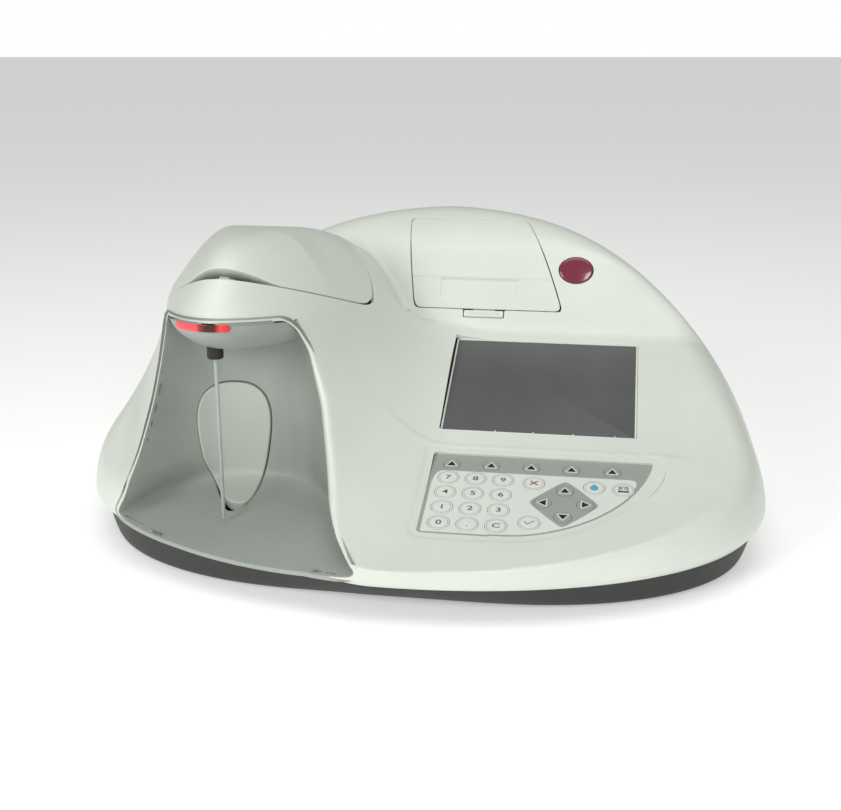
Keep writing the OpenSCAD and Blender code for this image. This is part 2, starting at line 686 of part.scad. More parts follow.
// Ear round a hinge pin on a web that rises from z0 at y0
module hinge_lug(x, y, z, z0, y0) {
    translate([x - lug_w / 2, y, z]) rotate([0, 90, 0]) cylinder(r = knuckle_r, h = lug_w);
    translate([x - lug_w / 2, 0, 0]) rotate([90, 0, 90]) linear_extrude(lug_w)
        polygon([[y0, z0], [y0 + 9, z0], [y + knuckle_r * 0.9, z - 1.2], [y - knuckle_r * 0.9, z - 1.2]]);
}
module flow_cell() {
    color([0.85, 0.9, 0.92]) difference() {
        translate([cell_x - cell_w / 2, cell_y - cell_w / 2, cell_z + 0.2]) cube([cell_w, cell_w, cell_h]);
        translate([cell_x - 5, cell_y - 2, cell_z + 3]) cube([10, 4, cell_h - 8]);
        for (s = [-1, 1]) translate([cell_x + 3.5 * s, cell_y, cell_z + cell_h - 6]) cylinder(d = 1.6, h = 10);
    }
}
module lamp_module() {
    color([0.2, 0.2, 0.22]) translate([cell_x - 14 - seam_gap, cell_y, light_z]) difference() {
        union() {
            translate([-15, -9, -9]) cube([15, 18, 18]);
            translate([-19, 0, 0]) rotate([0, 90, 0]) cylinder(d = 14, h = 5);
        }
        translate([-8, 0, 0]) rotate([0, 90, 0]) cylinder(d = 6, h = 9);
    }
}
module detector_module() {
    color([0.15, 0.3, 0.2]) translate([cell_x + 14 + seam_gap, cell_y, light_z]) difference() {
        union() {
            translate([0, -9, -9]) cube([9, 18, 18]);
            translate([8.9, -12, -11]) cube([1.6, 24, 22]);
        }
        translate([-1, 0, 0]) rotate([0, 90, 0]) cylinder(d = 6, h = 4);
    }
}
module needle_hub() {
    color([0.05, 0.05, 0.05]) translate([needle_x, needle_y, hub_z]) difference() {
        union() {
            cylinder(d = hub_d, h = head_edge_z + 3 - hub_z);
            translate([0, 0, head_edge_z + 3 - hub_z]) cylinder(d = hub_d + 5, h = 3);
        }
        translate([0, 0, -1]) cylinder(d = needle_d + 0.04, h = 60);
    }
}
module needle() {
    color([0.82, 0.86, 0.87]) translate([needle_x, needle_y, needle_tip_z]) difference() {
        cylinder(d = needle_d, h = head_edge_z + 9 - needle_tip_z);
        translate([0, 0, -1]) cylinder(d = needle_d / 2, h = 200);
    }
}

// ---------- pump and button works ----------
module pump_body() {
    color([0.35, 0.36, 0.38]) translate([pump_x, pump_y, pump_z]) difference() {
        union() {
            translate([-1, 0, 0]) rotate([0, 90, 0]) cylinder(d = 29, h = 25);
            translate([-17, -24, -24]) cube([17, 48, 40]);
            translate([-17, -12, base_z + floor_t + seam_gap - pump_z]) cube([17, 24, pump_z - 24 - base_z]);
        }
        translate([-18, 0, 0]) rotate([0, 90, 0]) cylinder(d = rotor_d + 5, h = 14);
        translate([-18, -rotor_d / 2 - 1, 0]) cube([14, rotor_d + 2, 40]);
        translate([-6, 0, 0]) rotate([0, 90, 0]) cylinder(d = 6 + 2 * run_fit, h = 20);
    }
}
module pump_rotor() {
    color([0.8, 0.8, 0.78]) translate([pump_x, pump_y, pump_z]) rotate([0, 90, 0]) union() {
        translate([0, 0, -16]) cylinder(d = rotor_d - 8, h = 11);
        for (a = [0, 120, 240]) rotate(a) translate([rotor_d / 2 - 4, 0, -16]) cylinder(d = 8, h = 11);
        translate([0, 0, -5.01]) cylinder(d = 6, h = 17);
    }
}
module button_spring() {
    turns = 5;
    seg = 14;
    sides = 6;
    n = turns * seg;
    y0 = switch_y - spring_l - 0.2;
    rings = [for (i = [0 : n]) let (a = 360 * i / seg, y = y0 + spring_wire / 2 + (spring_l - spring_wire) * i / n)
        [for (j = [0 : sides - 1]) let (b = 360 * j / sides, r = stem_d / 2 + 1.6 + spring_wire / 2 * cos(b))
            [r * cos(a), y + spring_wire / 2 * sin(b), r * sin(a)]]];
    ends = [for (r = [rings[0], rings[n]]) [for (k = [0 : 2]) [for (p = r) p[k]] * [for (p = r) 1 / sides]]];
    color([0.7, 0.7, 0.68]) moulded() translate([egg_x, 0, egg_z]) ringed(ends[0], rings, ends[1]);
}
module button_switch() {
    color([0.12, 0.12, 0.12]) difference() {
        union() {
            translate([egg_x - 9, switch_y, egg_z - 9]) cube([18, 12, 18]);
            translate([egg_x - 6, switch_y + 3, base_z + floor_t + seam_gap]) cube([12, 9, egg_z - base_z - floor_t - 9]);
        }
        translate([egg_x, switch_y - 1, egg_z]) rotate([-90, 0, 0]) cylinder(d = stem_d + 1, h = 9.5);
    }
}

// ---------- screen, keypad and boards ----------
module display_window() {
    color([0.36, 0.37, 0.37]) on_screen() translate([-screen_w / 2, -screen_h / 2, -window_deep - window_t])
        cube([screen_w, screen_h, window_t]);
}
module lcd_module() {
    color([0.25, 0.26, 0.25]) on_screen() translate([-lcd_w / 2, -lcd_h / 2, -wall - lcd_drop - lcd_t])
        cube([lcd_w, lcd_h, lcd_t]);
}
module key_openings(g) {
    on_keypad() for (k = KEYS) translate([k[1].x, k[1].y, -8]) cylinder(d = k[2] + 2 * g, h = 20, $fn = 12);
}
module keypad_overlay() {
    color([0.87, 0.89, 0.86]) difference() {
        on_keypad() translate([0, 0, -overlay_t]) linear_extrude(overlay_t) pad_outline();
        on_keypad() for (k = KEYS) translate([k[1].x, k[1].y, -8]) cylinder(d = k[2] + gap, h = 20);
    }
}
module keypad_board() {
    color([0.1, 0.3, 0.2]) on_keypad() translate([pad_left + 4, pad_bottom + 10, -wall - 2.2])
        linear_extrude(1.6) difference() {
            square([pad_right - pad_left - 12, pad_top - pad_bottom - 14]);
            translate([90, -20]) rotate(45) square(44, center = true);
        }
}
module main_board() {
    color([0.1, 0.3, 0.2]) translate([-10, -70, board_z]) union() {
        cube([160, 130, 1.6]);
        translate([20, 20, 1.5]) cube([24, 24, 3]);
        translate([70, 70, 1.5]) cube([30, 22, 8]);
        translate([120, 20, 1.5]) cube([20, 40, 12]);
        translate([80, 15, 1.5]) cylinder(d = 14, h = 16);
    }
}
module badge_place() { translate([badge_x, badge_y, skin_z(badge_x, badge_y)]) rotate([badge_tilt, 0, 0]) children(); }
module badge_outline(g = 0) { offset(delta = g) scale([1, badge_h / badge_w]) circle(d = badge_w); }
module badge() {
    color([0.48, 0.2, 0.27]) badge_place() translate([0, 0, -1.1]) linear_extrude(1.6)
        scale([1, badge_h / badge_w]) circle(d = badge_w);
}

// ---------- printer ----------
module printer_frame() {
    color([0.3, 0.31, 0.32]) difference() {
        union() {
            for (s = [-1, 1]) translate([cover_mid + s * cheek_x - 1.5, 0, 0]) rotate([90, 0, 90]) linear_extrude(3)
                polygon(cheek);
            for (s = [-1, 1]) hinge_lug(cover_mid + s * printer_lug_x, printer_pin_y, printer_pin_z,
                printer_pin_z - 8, printer_pin_y - 4.5);
            translate([cover_mid - cheek_x, 60, base_z + floor_t + seam_gap]) cube([2 * cheek_x, 70, 3]);
            translate([cover_mid - cheek_x, paper_y, paper_z]) rotate([0, 90, 0]) cylinder(d = 12, h = 2 * cheek_x);
        }
        for (s = [-1, 1]) translate([cover_mid + s * cheek_x - 5, platen_y, platen_z]) rotate([0, 90, 0])
            cylinder(d = 4 + 2 * run_fit, h = 10);
        for (s = [-1, 1]) translate([cover_mid + s * printer_lug_x - 5, printer_pin_y, printer_pin_z]) rotate([0, 90, 0])
            cylinder(d = pin_d + 2 * run_fit, h = 10);
    }
}
module platen_roller() {
    color([0.1, 0.1, 0.1]) translate([cover_mid, platen_y, platen_z]) rotate([0, 90, 0]) union() {
        cylinder(d = platen_d, h = paper_w, center = true);
        cylinder(d = 4, h = 2 * cheek_x + 6, center = true);
    }
}
module paper_roll() {
    color([0.95, 0.95, 0.93]) translate([cover_mid, paper_y, paper_z]) rotate([0, 90, 0]) difference() {
        cylinder(d = paper_d, h = paper_w, center = true);
        cylinder(d = 12 + 2 * run_fit, h = 100, center = true);
    }
}

// ---------- back and underside ----------
module rear_openings() {
    translate([inlet_x - 14 - seam_gap, 100, inlet_z - seam_gap]) cube([28 + 2 * seam_gap, 100, 48 + 2 * seam_gap]);
    translate([waste_x, 100, waste_z]) rotate([-90, 0, 0]) cylinder(d = 12.6, h = 100, $fn = 32);
}
module power_inlet() {
    color([0.08, 0.08, 0.08]) translate([inlet_x, inlet_y, inlet_z]) difference() {
        union() {
            translate([-14, -24, 0]) cube([28, 24, 48]);
            for (x = [-7, 0, 7]) translate([x - 1, -18, x == 0 ? 8 : 12]) cube([2, 1, 4]);
        }
        difference() {
            translate([-12, -16, 3]) cube([24, 17, 18]);
            for (x = [-7, 0, 7]) translate([x - 1, -17, x == 0 ? 8 : 12]) cube([2, 14, 4]);
        }
        translate([-10, -14, 26]) cube([20, 15, 20]);
        translate([-13, -7, 36]) rotate([0, 90, 0]) cylinder(d = 3 + 2 * run_fit, h = 26);
    }
}
module power_switch() {
    color([0.2, 0.2, 0.2]) translate([inlet_x, inlet_y - 7, inlet_z + 36]) union() {
        rotate([90, 0, 90]) linear_extrude(18, center = true)
            polygon([[-5, -7], [4, -8.6], [6.2, -8.4], [4.6, 0], [6.2, 8.4], [4, 8.6], [-5, 7]]);
        rotate([0, 90, 0]) cylinder(d = 3, h = 24, center = true);
    }
}
module waste_outlet() {
    color([0.1, 0.1, 0.1]) translate([waste_x, waste_y, waste_z]) rotate([-90, 0, 0]) difference() {
        union() {
            translate([0, 0, -20]) cylinder(d = 12, h = 20);
            cylinder(d = 6.4, h = 14);
            translate([0, 0, 14]) cylinder(d1 = 6.4, d2 = 5.4, h = 2);
        }
        translate([0, 0, -21]) cylinder(d = 3.2, h = 60);
    }
}
module feet() {
    color([0.05, 0.05, 0.05]) for (p = foot_places) translate([p.x, p.y, 0]) cylinder(d = foot_d, h = base_z + foot_deep);
}
module case_screws() {
    color([0.6, 0.6, 0.6]) for (p = screw_places) translate([p.x, p.y, screw_head_z]) union() {
        cylinder(d = 6, h = 2.2);
        cylinder(d = 3, h = screw_l);
    }
}

upper_housing();
base_tray();
sample_bay_panel();
nose_underside();
light_bar();
head_cover();
head_cover_pin();
head_deck();
flow_cell();
lamp_module();
detector_module();
needle_hub();
needle();
pump_body();
pump_rotor();
aspiration_button();
button_spring();
button_switch();
display_window();
lcd_module();
keypad_overlay();
keypad_board();
main_board();
badge();
printer_frame();
platen_roller();
paper_roll();
printer_cover();
printer_cover_pin();
printer_latch();
power_inlet();
power_switch();
waste_outlet();
feet();
case_screws();
for (k = KEYS) key_cap(k);
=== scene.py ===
"""Bench-top liquid analyser: moulded shells, sampling bay, screen, keypad and printer cover.

Every shape is a formula on a grid, worked out in millimetres in the frame of the CAD model
(X right, Y back, Z up, on the surface it stands on) and written to its mesh in metres.
"""

import bpy
import numpy as np
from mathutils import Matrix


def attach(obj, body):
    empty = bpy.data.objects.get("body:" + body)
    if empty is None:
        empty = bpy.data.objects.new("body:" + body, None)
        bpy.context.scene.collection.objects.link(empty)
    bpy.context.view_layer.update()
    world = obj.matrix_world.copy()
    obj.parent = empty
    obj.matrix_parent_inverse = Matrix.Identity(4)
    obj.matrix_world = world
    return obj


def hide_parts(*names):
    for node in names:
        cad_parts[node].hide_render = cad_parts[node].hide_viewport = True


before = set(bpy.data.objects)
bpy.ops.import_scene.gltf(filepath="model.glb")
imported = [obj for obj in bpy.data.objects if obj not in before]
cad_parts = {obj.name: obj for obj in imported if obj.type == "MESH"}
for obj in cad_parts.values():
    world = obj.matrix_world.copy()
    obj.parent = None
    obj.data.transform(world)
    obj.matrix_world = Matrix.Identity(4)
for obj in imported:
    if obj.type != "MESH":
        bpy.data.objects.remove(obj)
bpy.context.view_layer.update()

MM = 0.001
WALL, THIN_WALL = 3.0, 2.6
FAR_OUTSIDE = -50.0

# ---------- camera and light ----------
CAMERA_AT = (0.1125, -0.751, 0.305)
CAMERA_TURN = (90.0 - 17.0, 0.0, 9.1)
CAMERA_LENS = 51.4


def add_camera():
    """Camera on the front, a little to the right and above."""
    data = bpy.data.cameras.new("camera")
    data.lens = CAMERA_LENS
    data.sensor_width = 36.0
    data.clip_start, data.clip_end = 0.01, 20.0
    camera = bpy.data.objects.new("camera", data)
    camera.location = CAMERA_AT
    camera.rotation_euler = np.radians(CAMERA_TURN)
    bpy.context.scene.collection.objects.link(camera)
    bpy.context.scene.camera = camera


def add_light(name, at, towards, size, power):
    """Square soft box at a place, turned towards a point; power in watts."""
    data = bpy.data.lights.new(name, "AREA")
    data.shape, data.size, data.size_y = "RECTANGLE", size[0], size[1]
    data.energy = power
    lamp = bpy.data.objects.new(name, data)
    lamp.location = at
    step = np.array(towards) - np.array(at)
    flat = np.hypot(step[0], step[1])
    lamp.rotation_euler = (np.arctan2(flat, -step[2]), 0.0, np.arctan2(-step[0], step[1]))
    bpy.context.scene.collection.objects.link(lamp)


# ---------- small functions ----------
def ramp(value, low, high):
    """Smooth step: 0 below low, 1 above high, 3t^2 - 2t^3 between."""
    t = np.clip((value - low) / (high - low), 0.0, 1.0)
    return t * t * (3.0 - 2.0 * t)


def mix(first, second, share):
    return first + (second - first) * share


def soft_min(a, b, k):
    """Smaller of two values, with their crossing rounded over a width k."""
    h = np.clip(0.5 + 0.5 * (b - a) / k, 0.0, 1.0)
    return b + (a - b) * h - k * h * (1.0 - h)


def soft_max(a, b, k):
    return -soft_min(-a, -b, k)


def unit(v):
    return v / np.maximum(np.linalg.norm(v, axis=-1, keepdims=True), 1e-12)


def cosd(a):
    return np.cos(np.radians(a))


def sind(a):
    return np.sin(np.radians(a))


def tand(a):
    return np.tan(np.radians(a))


def curve(a, b, c, s):
    """Quadratic curve from a to c, drawn towards b."""
    return (1 - s) ** 2 * a + 2 * s * (1 - s) * b + s * s * c


def slopes(surface, a, b, e):
    """Slopes of a function of two numbers, by central differences."""
    return ((surface(a + e, b) - surface(a - e, b)) / (2.0 * e),
            (surface(a, b + e) - surface(a, b - e)) / (2.0 * e))


# ---------- the housing's outer surface ----------
HALF_W, BODY_FRONT, BODY_REAR = 212.0, 134.0, 216.0
RIM_Y, RIM_Z = (BODY_FRONT - BODY_REAR) / 2.0, 33.0
SIDE_POWER, SIDE_HEIGHT, REAR_POWER = 1.6, 185.0, 5.0
FLANK_INSET, SEAM_Z, SEAM_RISE = 7.0, 20.0, 5.0
SCREEN_AT, SCREEN_TILT = (72.5, -8.0, 92.0), 24.9
KEYPAD_AT, KEYPAD_TILT = (0.0, -77.0, 61.0), 16.0
DOME_R, DOME_Y, DOME_Z = 80.0, 126.0, 113.0
STEP_Y, STEP_SLOPE = 46.0, 2.6
HEAD_X, HEAD_FRONT, HEAD_SPREAD, HEAD_EDGE, HEAD_TOP = -104.0, -137.0, 5.9, 150.0, 195.0
HEAD_CROWN = 80.0


def inside_rim(x, y):
    """1 in the middle of the plan and 0 on the widest line: 1 - |x/w|^1.6 - v, where v follows an oval in
    front of the widest point and is (y/l)^5 behind it."""
    q = (y - RIM_Y) / np.where(y < RIM_Y, BODY_FRONT, BODY_REAR)
    front = 1.0 - (1.0 - np.clip(q * q, 0.0, 1.0)) ** (SIDE_POWER / 2.0)
    v = np.where(y < RIM_Y, front, np.clip(q, 0.0, 1.0) ** REAR_POWER)
    return np.clip(1.0 - np.abs(x / HALF_W) ** SIDE_POWER - v, 0.0, 1.0)


def screen_plane(y):
    return SCREEN_AT[2] + (y - SCREEN_AT[1]) * tand(SCREEN_TILT)


def keypad_plane(y):
    return KEYPAD_AT[2] + (y - KEYPAD_AT[1]) * tand(KEYPAD_TILT)


def dome(y):
    """Quarter circle of radius 80 over the printer."""
    u = np.clip((DOME_Y - y) / DOME_R, 0.0, 0.97)
    return DOME_Z + DOME_R * np.sqrt(1.0 - u * u)


def face(y):
    """Keypad slope, screen slope, step up to the dome and the dome, each joint rounded."""
    slope = soft_max(screen_plane(y), keypad_plane(y), 6.0)
    step = screen_plane(STEP_Y) + 1.0 + (y - STEP_Y) * STEP_SLOPE
    return soft_min(soft_max(slope, step, 12.0), dome(y), 8.0)


def head_in(x, y):
    """Distance inwards from the head's outline, the parabola y = -137 + (u)^2 with u = (x + 104) / 5.9."""
    u = (x - HEAD_X) / HEAD_SPREAD
    return (y - HEAD_FRONT - u * u) / np.sqrt(1.0 + (2.0 * u / HEAD_SPREAD) ** 2)


def crown_top(y):
    return HEAD_TOP - 0.002 * (np.maximum(y, -60.0) + 60.0) ** 2


def bare_skin(x, y):
    """Height of the housing: a pebble with the sloped face, and the head grown out of it. Inside the head's
    outline the crown rises as 1 - (1 - d/80)^m; outside it the flank falls as (1 + d/reach)^power."""
    pebble = soft_min(RIM_Z + SIDE_HEIGHT * inside_rim(x, y) ** (1.0 / SIDE_POWER), face(y), 20.0)
    d = head_in(x, y)
    r = ramp(y, HEAD_FRONT, -30.0)
    right = ramp(x, HEAD_X - 20.0, HEAD_X + 20.0)
    m = mix(2.9, np.minimum(4.2, (5.5 - 3.6 * r) * HEAD_CROWN / 45.0), right)
    reach = mix(34.0, 60.0 - 12.0 * r, right)
    power = mix(2.4, 2.6 - 1.1 * r, right)
    edge = mix(HEAD_EDGE, RIM_Z, ramp(y, -10.0, 160.0))
    crown = edge + (crown_top(y) - edge) * (1.0 - (1.0 - np.clip(d / HEAD_CROWN, 0.0, 1.0)) ** m)
    flank = pebble + (edge - pebble) * np.clip(1.0 + d / reach, 0.0, 1.0) ** power
    head = np.where(d > 0.0, soft_max(crown, pebble, 12.0), np.maximum(flank, pebble))
    fade = mix(1.0, ramp(inside_rim(x, y), 0.0, 0.25), ramp(y, RIM_Y, 30.0))
    return mix(pebble, head, fade)


# Keypad: X, and the distance up its slope
PAD_LEFT, PAD_RIGHT, PAD_TOP, PAD_BOTTOM = 12.0, 143.5, 9.0, -66.5
PAD_ARC, PAD_ARC_R, PAD_CORNER = (52.0, 26.0), 92.6, 3.0


def box_field(x, y, box, corner=0.0):
    """Distance inside a rectangle (x0, y0, x1, y1) with round corners; negative outside."""
    dx = np.abs(x - (box[0] + box[2]) / 2.0) - (box[2] - box[0]) / 2.0 + corner
    dy = np.abs(y - (box[1] + box[3]) / 2.0) - (box[3] - box[1]) / 2.0 + corner
    return corner - np.hypot(np.maximum(dx, 0.0), np.maximum(dy, 0.0)) - np.minimum(np.maximum(dx, dy), 0.0)


def pad_field(x, v):
    """Distance inside the keypad's outline: a rectangle whose lower right is one arc of radius 92.6."""
    lower = v < PAD_ARC[1]
    arc = np.where((x > PAD_ARC[0]) & lower, PAD_ARC_R - np.hypot(x - PAD_ARC[0], v - PAD_ARC[1]), 50.0)
    return soft_min(box_field(x, v, (PAD_LEFT, PAD_BOTTOM, PAD_RIGHT, PAD_TOP), PAD_CORNER), arc, 3.0)


def to_slope(x, y, z, at, tilt):
    """Point in a frame on a slope through `at`: across, up the slope, out of it."""
    dy, dz = y - at[1], z - at[2]
    return x - at[0], dy * cosd(tilt) + dz * sind(tilt), dz * cosd(tilt) - dy * sind(tilt)


def from_slope(x, v, w, at, tilt):
    return np.stack([at[0] + x + 0.0 * v, at[1] + v * cosd(tilt) - w * sind(tilt),
                     at[2] + v * sind(tilt) + w * cosd(tilt)], -1)


FIELD_DEPTH, POCKET_DEPTH = 0.7, 0.55


def relief(x, y):
    """Depth of the shallow field round the screen and of the pocket round the keypad."""
    left = ramp(x, -24.0, -10.0)
    right = 1.0 - ramp(x, 158.0, 170.0)
    top = 1.0 - ramp(y, 34.0, 44.0)
    bottom = ramp(y, -64.5, -60.0)
    field = FIELD_DEPTH * left * right * top * bottom
    v = (y - KEYPAD_AT[1]) / cosd(KEYPAD_TILT)
    pocket = POCKET_DEPTH * ramp(pad_field(x, v), -6.5, -3.5)
    return field + pocket


def skin_z(x, y):
    return bare_skin(x, y) - relief(x, y)


TABLE_ANGLE = np.linspace(0.0, 360.0, 3601)
low, high = np.zeros(3601), np.full(3601, 400.0)
for _ in range(32):
    middle = (low + high) / 2.0
    within = inside_rim(middle * cosd(TABLE_ANGLE), RIM_Y + middle * sind(TABLE_ANGLE)) > 0.0
    low, high = np.where(within, middle, low), np.where(within, high, middle)
TABLE_RIM = low


def rim_radius(angle):
    """Plan radius of the widest line from its middle, by direction in degrees."""
    return np.interp(np.mod(angle, 360.0), TABLE_ANGLE, TABLE_RIM)


def seam_height(x):
    return SEAM_Z + SEAM_RISE * ramp(-x, 8.0, 58.0)


def body_place(par):
    """Housing surface by direction, share of the rim's radius, and share of the way from rim to seam."""
    a, share, k = par.T
    rim = rim_radius(a)
    r = share * rim - FLANK_INSET * k * k
    x, y = r * cosd(a), RIM_Y + r * sind(a)
    top = skin_z(share * rim * cosd(a), RIM_Y + share * rim * sind(a))
    return np.stack([x, y, mix(top, seam_height(x), k)], -1)


def rim_normal(a):
    """Outward direction in plan at the widest line."""
    r = 0.995 * rim_radius(a)
    x, y, e = r * cosd(a), RIM_Y + r * sind(a), 0.2
    gx = inside_rim(x - e, y) - inside_rim(x + e, y)
    gy = inside_rim(x, y - e) - inside_rim(x, y + e)
    return unit(np.stack([gx, gy, 0.0 * gx], -1))


def skin_normal(x, y):
    gx, gy = slopes(skin_z, x, y, 0.05)
    return unit(np.stack([-gx, -gy, np.ones_like(gx)], -1))


def body_normal(par):
    a, share, k = par.T
    p = body_place(par)
    out = rim_normal(a)
    drop = RIM_Z - seam_height(p[:, 0])
    flank = unit(out * drop[:, None] + np.array([0.0, 0.0, -1.0]) * (2.0 * FLANK_INSET * k)[:, None])
    on_rim = (share > 0.9985)[:, None]
    return np.where(on_rim, flank, skin_normal(p[:, 0], p[:, 1]))


# ---------- sheets, cuts and walls ----------
def grid_faces(rows, columns):
    """Triangles of a grid of points, numbered row by row."""
    k = (np.arange(rows - 1)[:, None] * columns + np.arange(columns - 1)).reshape(-1)
    a, b, c, d = k, k + 1, k + columns + 1, k + columns
    return np.concatenate([np.stack([a, b, c], 1), np.stack([a, c, d], 1)])


def grid(first, second):
    """Sheet over a grid: its parameters and triangles. `first` runs along a row."""
    a, b = np.meshgrid(first, second)
    return np.stack([a.reshape(-1), b.reshape(-1)], -1), grid_faces(*a.shape)


def round_of(n):
    """Numbers round a closed ring, and the next of each."""
    i = np.arange(n)
    return i, (i + 1) % n


def ring_faces(rows, columns, closed=False):
    """Quads between closed rings of points; closed joins the last ring to the first."""
    i, j = round_of(columns)
    pairs = [(k * columns, (k + 1) % rows * columns) for k in range(rows - 1 + closed)]
    return np.concatenate([np.stack([k + i, k + j, l + j, l + i], 1) for k, l in pairs])


def capped_rings(rows, columns):
    """Quads between closed rings, with a polygon on each end."""
    i = np.arange(columns)
    ends = [i[::-1].tolist(), ((rows - 1) * columns + i).tolist()]
    return ring_faces(rows, columns).tolist() + ends


def cut_sheet(par, faces, field):
    """Keeps the part of a triangle sheet where field(par) > 0. The corner on a crossed edge is found by
    halving the edge's parameters, so it lies on the surface itself. Returns those corners' numbers too."""
    inside = field(par) > 0.0
    count = inside[faces].sum(1)
    part = faces[(count == 1) | (count == 2)]
    flags = inside[part]
    odd = np.where(flags.sum(1) == 1, flags.argmax(1), (~flags).argmax(1))
    turned = part[np.arange(len(part))[:, None], (odd[:, None] + np.arange(3)) % 3]
    lone = inside[turned[:, 0]]
    ends = np.sort(np.concatenate([turned[:, [0, 1]], turned[:, [0, 2]]]), axis=1)
    edges, which = np.unique(ends, axis=0, return_inverse=True)
    which = which.reshape(-1)
    first_in = inside[edges[:, 0]][:, None]
    lo = np.where(first_in, par[edges[:, 0]], par[edges[:, 1]])
    hi = np.where(first_in, par[edges[:, 1]], par[edges[:, 0]])
    for _ in range(14):
        mid = (lo + hi) / 2.0
        ok = (field(mid) > 0.0)[:, None]
        lo, hi = np.where(ok, mid, lo), np.where(ok, hi, mid)
    new = len(par) + which
    first, second = new[: len(turned)], new[len(turned):]
    a, b, c = turned.T
    one = np.stack([a, first, second], 1)[lone]
    two = np.concatenate([np.stack([first, b, c], 1)[~lone], np.stack([first, c, second], 1)[~lone]])
    faces = np.concatenate([faces[count == 3], one, two])
    return np.concatenate([par, lo]), faces, np.arange(len(par), len(par) + len(edges))


def open_edges(faces):
    """Edges that only one triangle has, in that triangle's direction."""
    e = np.concatenate([faces[:, [0, 1]], faces[:, [1, 2]], faces[:, [2, 0]]])
    key = np.sort(e, axis=1)
    code = key[:, 0].astype(np.int64) * (faces.max() + 1) + key[:, 1]
    _, index, count = np.unique(code, return_index=True, return_counts=True)
    return e[index[count == 1]]


def gradient(field, p, e=0.05):
    """Slope of a field of points, by central differences."""
    steps = np.eye(3) * e
    return np.stack([(field(p + s) - field(p - s)) / (2.0 * e) for s in steps], -1)


def edge_rows(p, n, field, roll, depth):
    """Rounded edge from the surface into an opening: a curve from p, drawn towards the sharp corner, to a
    point `roll` below it, then a wall down to the given depth."""
    g = -gradient(field, p)
    g = unit(g - n * (g * n).sum(1, keepdims=True))
    corner = p + roll * g
    foot = corner - roll * n
    rows, normals = [], []
    for s in (0.3, 0.6, 0.85, 1.0):
        rows.append(curve(p, corner, foot, s))
        normals.append(unit((1 - s) * n + s * g))
    return rows + [corner - depth * n], normals + [g]


def moulding(place, normal, par, faces, cuts, depth):
    """Closed moulding from a sheet: cut, its edges rounded, walled and lined `depth` behind.
    cuts: (field of points, roll, rows function or None)."""
    tags = []
    for field, roll, rows in cuts:
        def left_over(q):
            p = place(q)
            return field(p) - (roll(p) if callable(roll) else roll)
        par, faces, made = cut_sheet(par, faces, left_over)
        tags.append(made)
    used = np.unique(faces)
    back = np.full(len(par), -1)
    back[used] = np.arange(len(used))
    par, faces = par[used], back[faces]
    points, normals = place(par), normal(par)
    a, b, c = points[faces].transpose(1, 0, 2)
    face_n = np.cross(b - a, c - a)
    if (face_n * normals[faces[:, 0]]).sum() < 0.0:
        faces = faces[:, ::-1]
    border = open_edges(faces)
    all_points, all_normals, all_faces = [points], [normals], [faces]
    total = len(points)
    lining = points - depth * normals
    lining_id = np.full(len(points), -1)
    claimed = np.zeros(len(border), bool)
    groups = []
    for (field, roll, rows), made in zip(cuts, tags):
        member = np.zeros(len(points), bool)
        kept = back[made[made < len(back)]]
        member[kept[kept >= 0]] = True
        mine = member[border].all(1) & ~claimed
        claimed |= mine
        groups.append((border[mine], field, roll, rows))
    groups.append((border[~claimed], None, 0.0, None))
    for edges, field, roll, rows in groups:
        if len(edges) == 0:
            continue
        ids = np.unique(edges)
        slot = np.full(len(points), -1)
        slot[ids] = np.arange(len(ids))
        p, n = points[ids], normals[ids]
        if field is None:
            made_rows, made_n = [lining[ids]], [-n]
        else:
            r = roll(p)[:, None] if callable(roll) else roll
            made_rows, made_n = (rows or edge_rows)(p, n, field, r, depth)
        first = ids
        i, j = slot[edges[:, 0]], slot[edges[:, 1]]
        for row, row_n in zip(made_rows, made_n):
            second = total + np.arange(len(ids))
            all_points.append(row)
            all_normals.append(row_n)
            total += len(ids)
            all_faces.append(np.stack([first[j], first[i], second[i]], 1))
            all_faces.append(np.stack([first[j], second[i], second[j]], 1))
            first = second
        lining_id[ids] = first
    free = lining_id < 0
    lining_id[free] = total + np.arange(free.sum())
    all_points.append(lining[free])
    all_normals.append(-normals[free])
    all_faces.append(lining_id[faces][:, ::-1])
    return np.concatenate(all_points), np.concatenate(all_normals), np.concatenate(all_faces)


def make_piece(name, points, faces, material, body, stands_for=(), normals=None, marks=None):
    """Piece from points in millimetres. Several materials need marks, each face's place in the list."""
    mesh = bpy.data.meshes.new(name)
    faces = faces if isinstance(faces, list) else faces.tolist()
    mesh.from_pydata((np.asarray(points) * MM).tolist(), [], faces)
    mesh.update()
    mesh.shade_smooth()
    if normals is not None:
        mesh.normals_split_custom_set_from_vertices(normals.tolist())
    else:
        mesh.set_sharp_from_angle(angle=np.radians(35.0))
    for m in material if isinstance(material, list) else [material]:
        mesh.materials.append(m)
    if marks is not None:
        mesh.polygons.foreach_set("material_index", np.asarray(marks, np.int32))
    piece = bpy.data.objects.new(name, mesh)
    bpy.context.scene.collection.objects.link(piece)
    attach(piece, body)
    if stands_for:
        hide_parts(*stands_for)
    return piece


def make_moulding(name, place, normal, sheet, cuts, depth, material, body, stands_for):
    """Piece made as a closed moulding from a sheet."""
    points, normals, faces = moulding(place, normal, *sheet, cuts, depth)
    make_piece(name, points, faces, material, body, stands_for, normals)


def make_joined(name, parts, material, body, stands_for=()):
    """Piece of one material from several (points, faces)."""
    points, faces, _ = joined([part + (0,) for part in parts])
    make_piece(name, points, faces, material, body, stands_for)


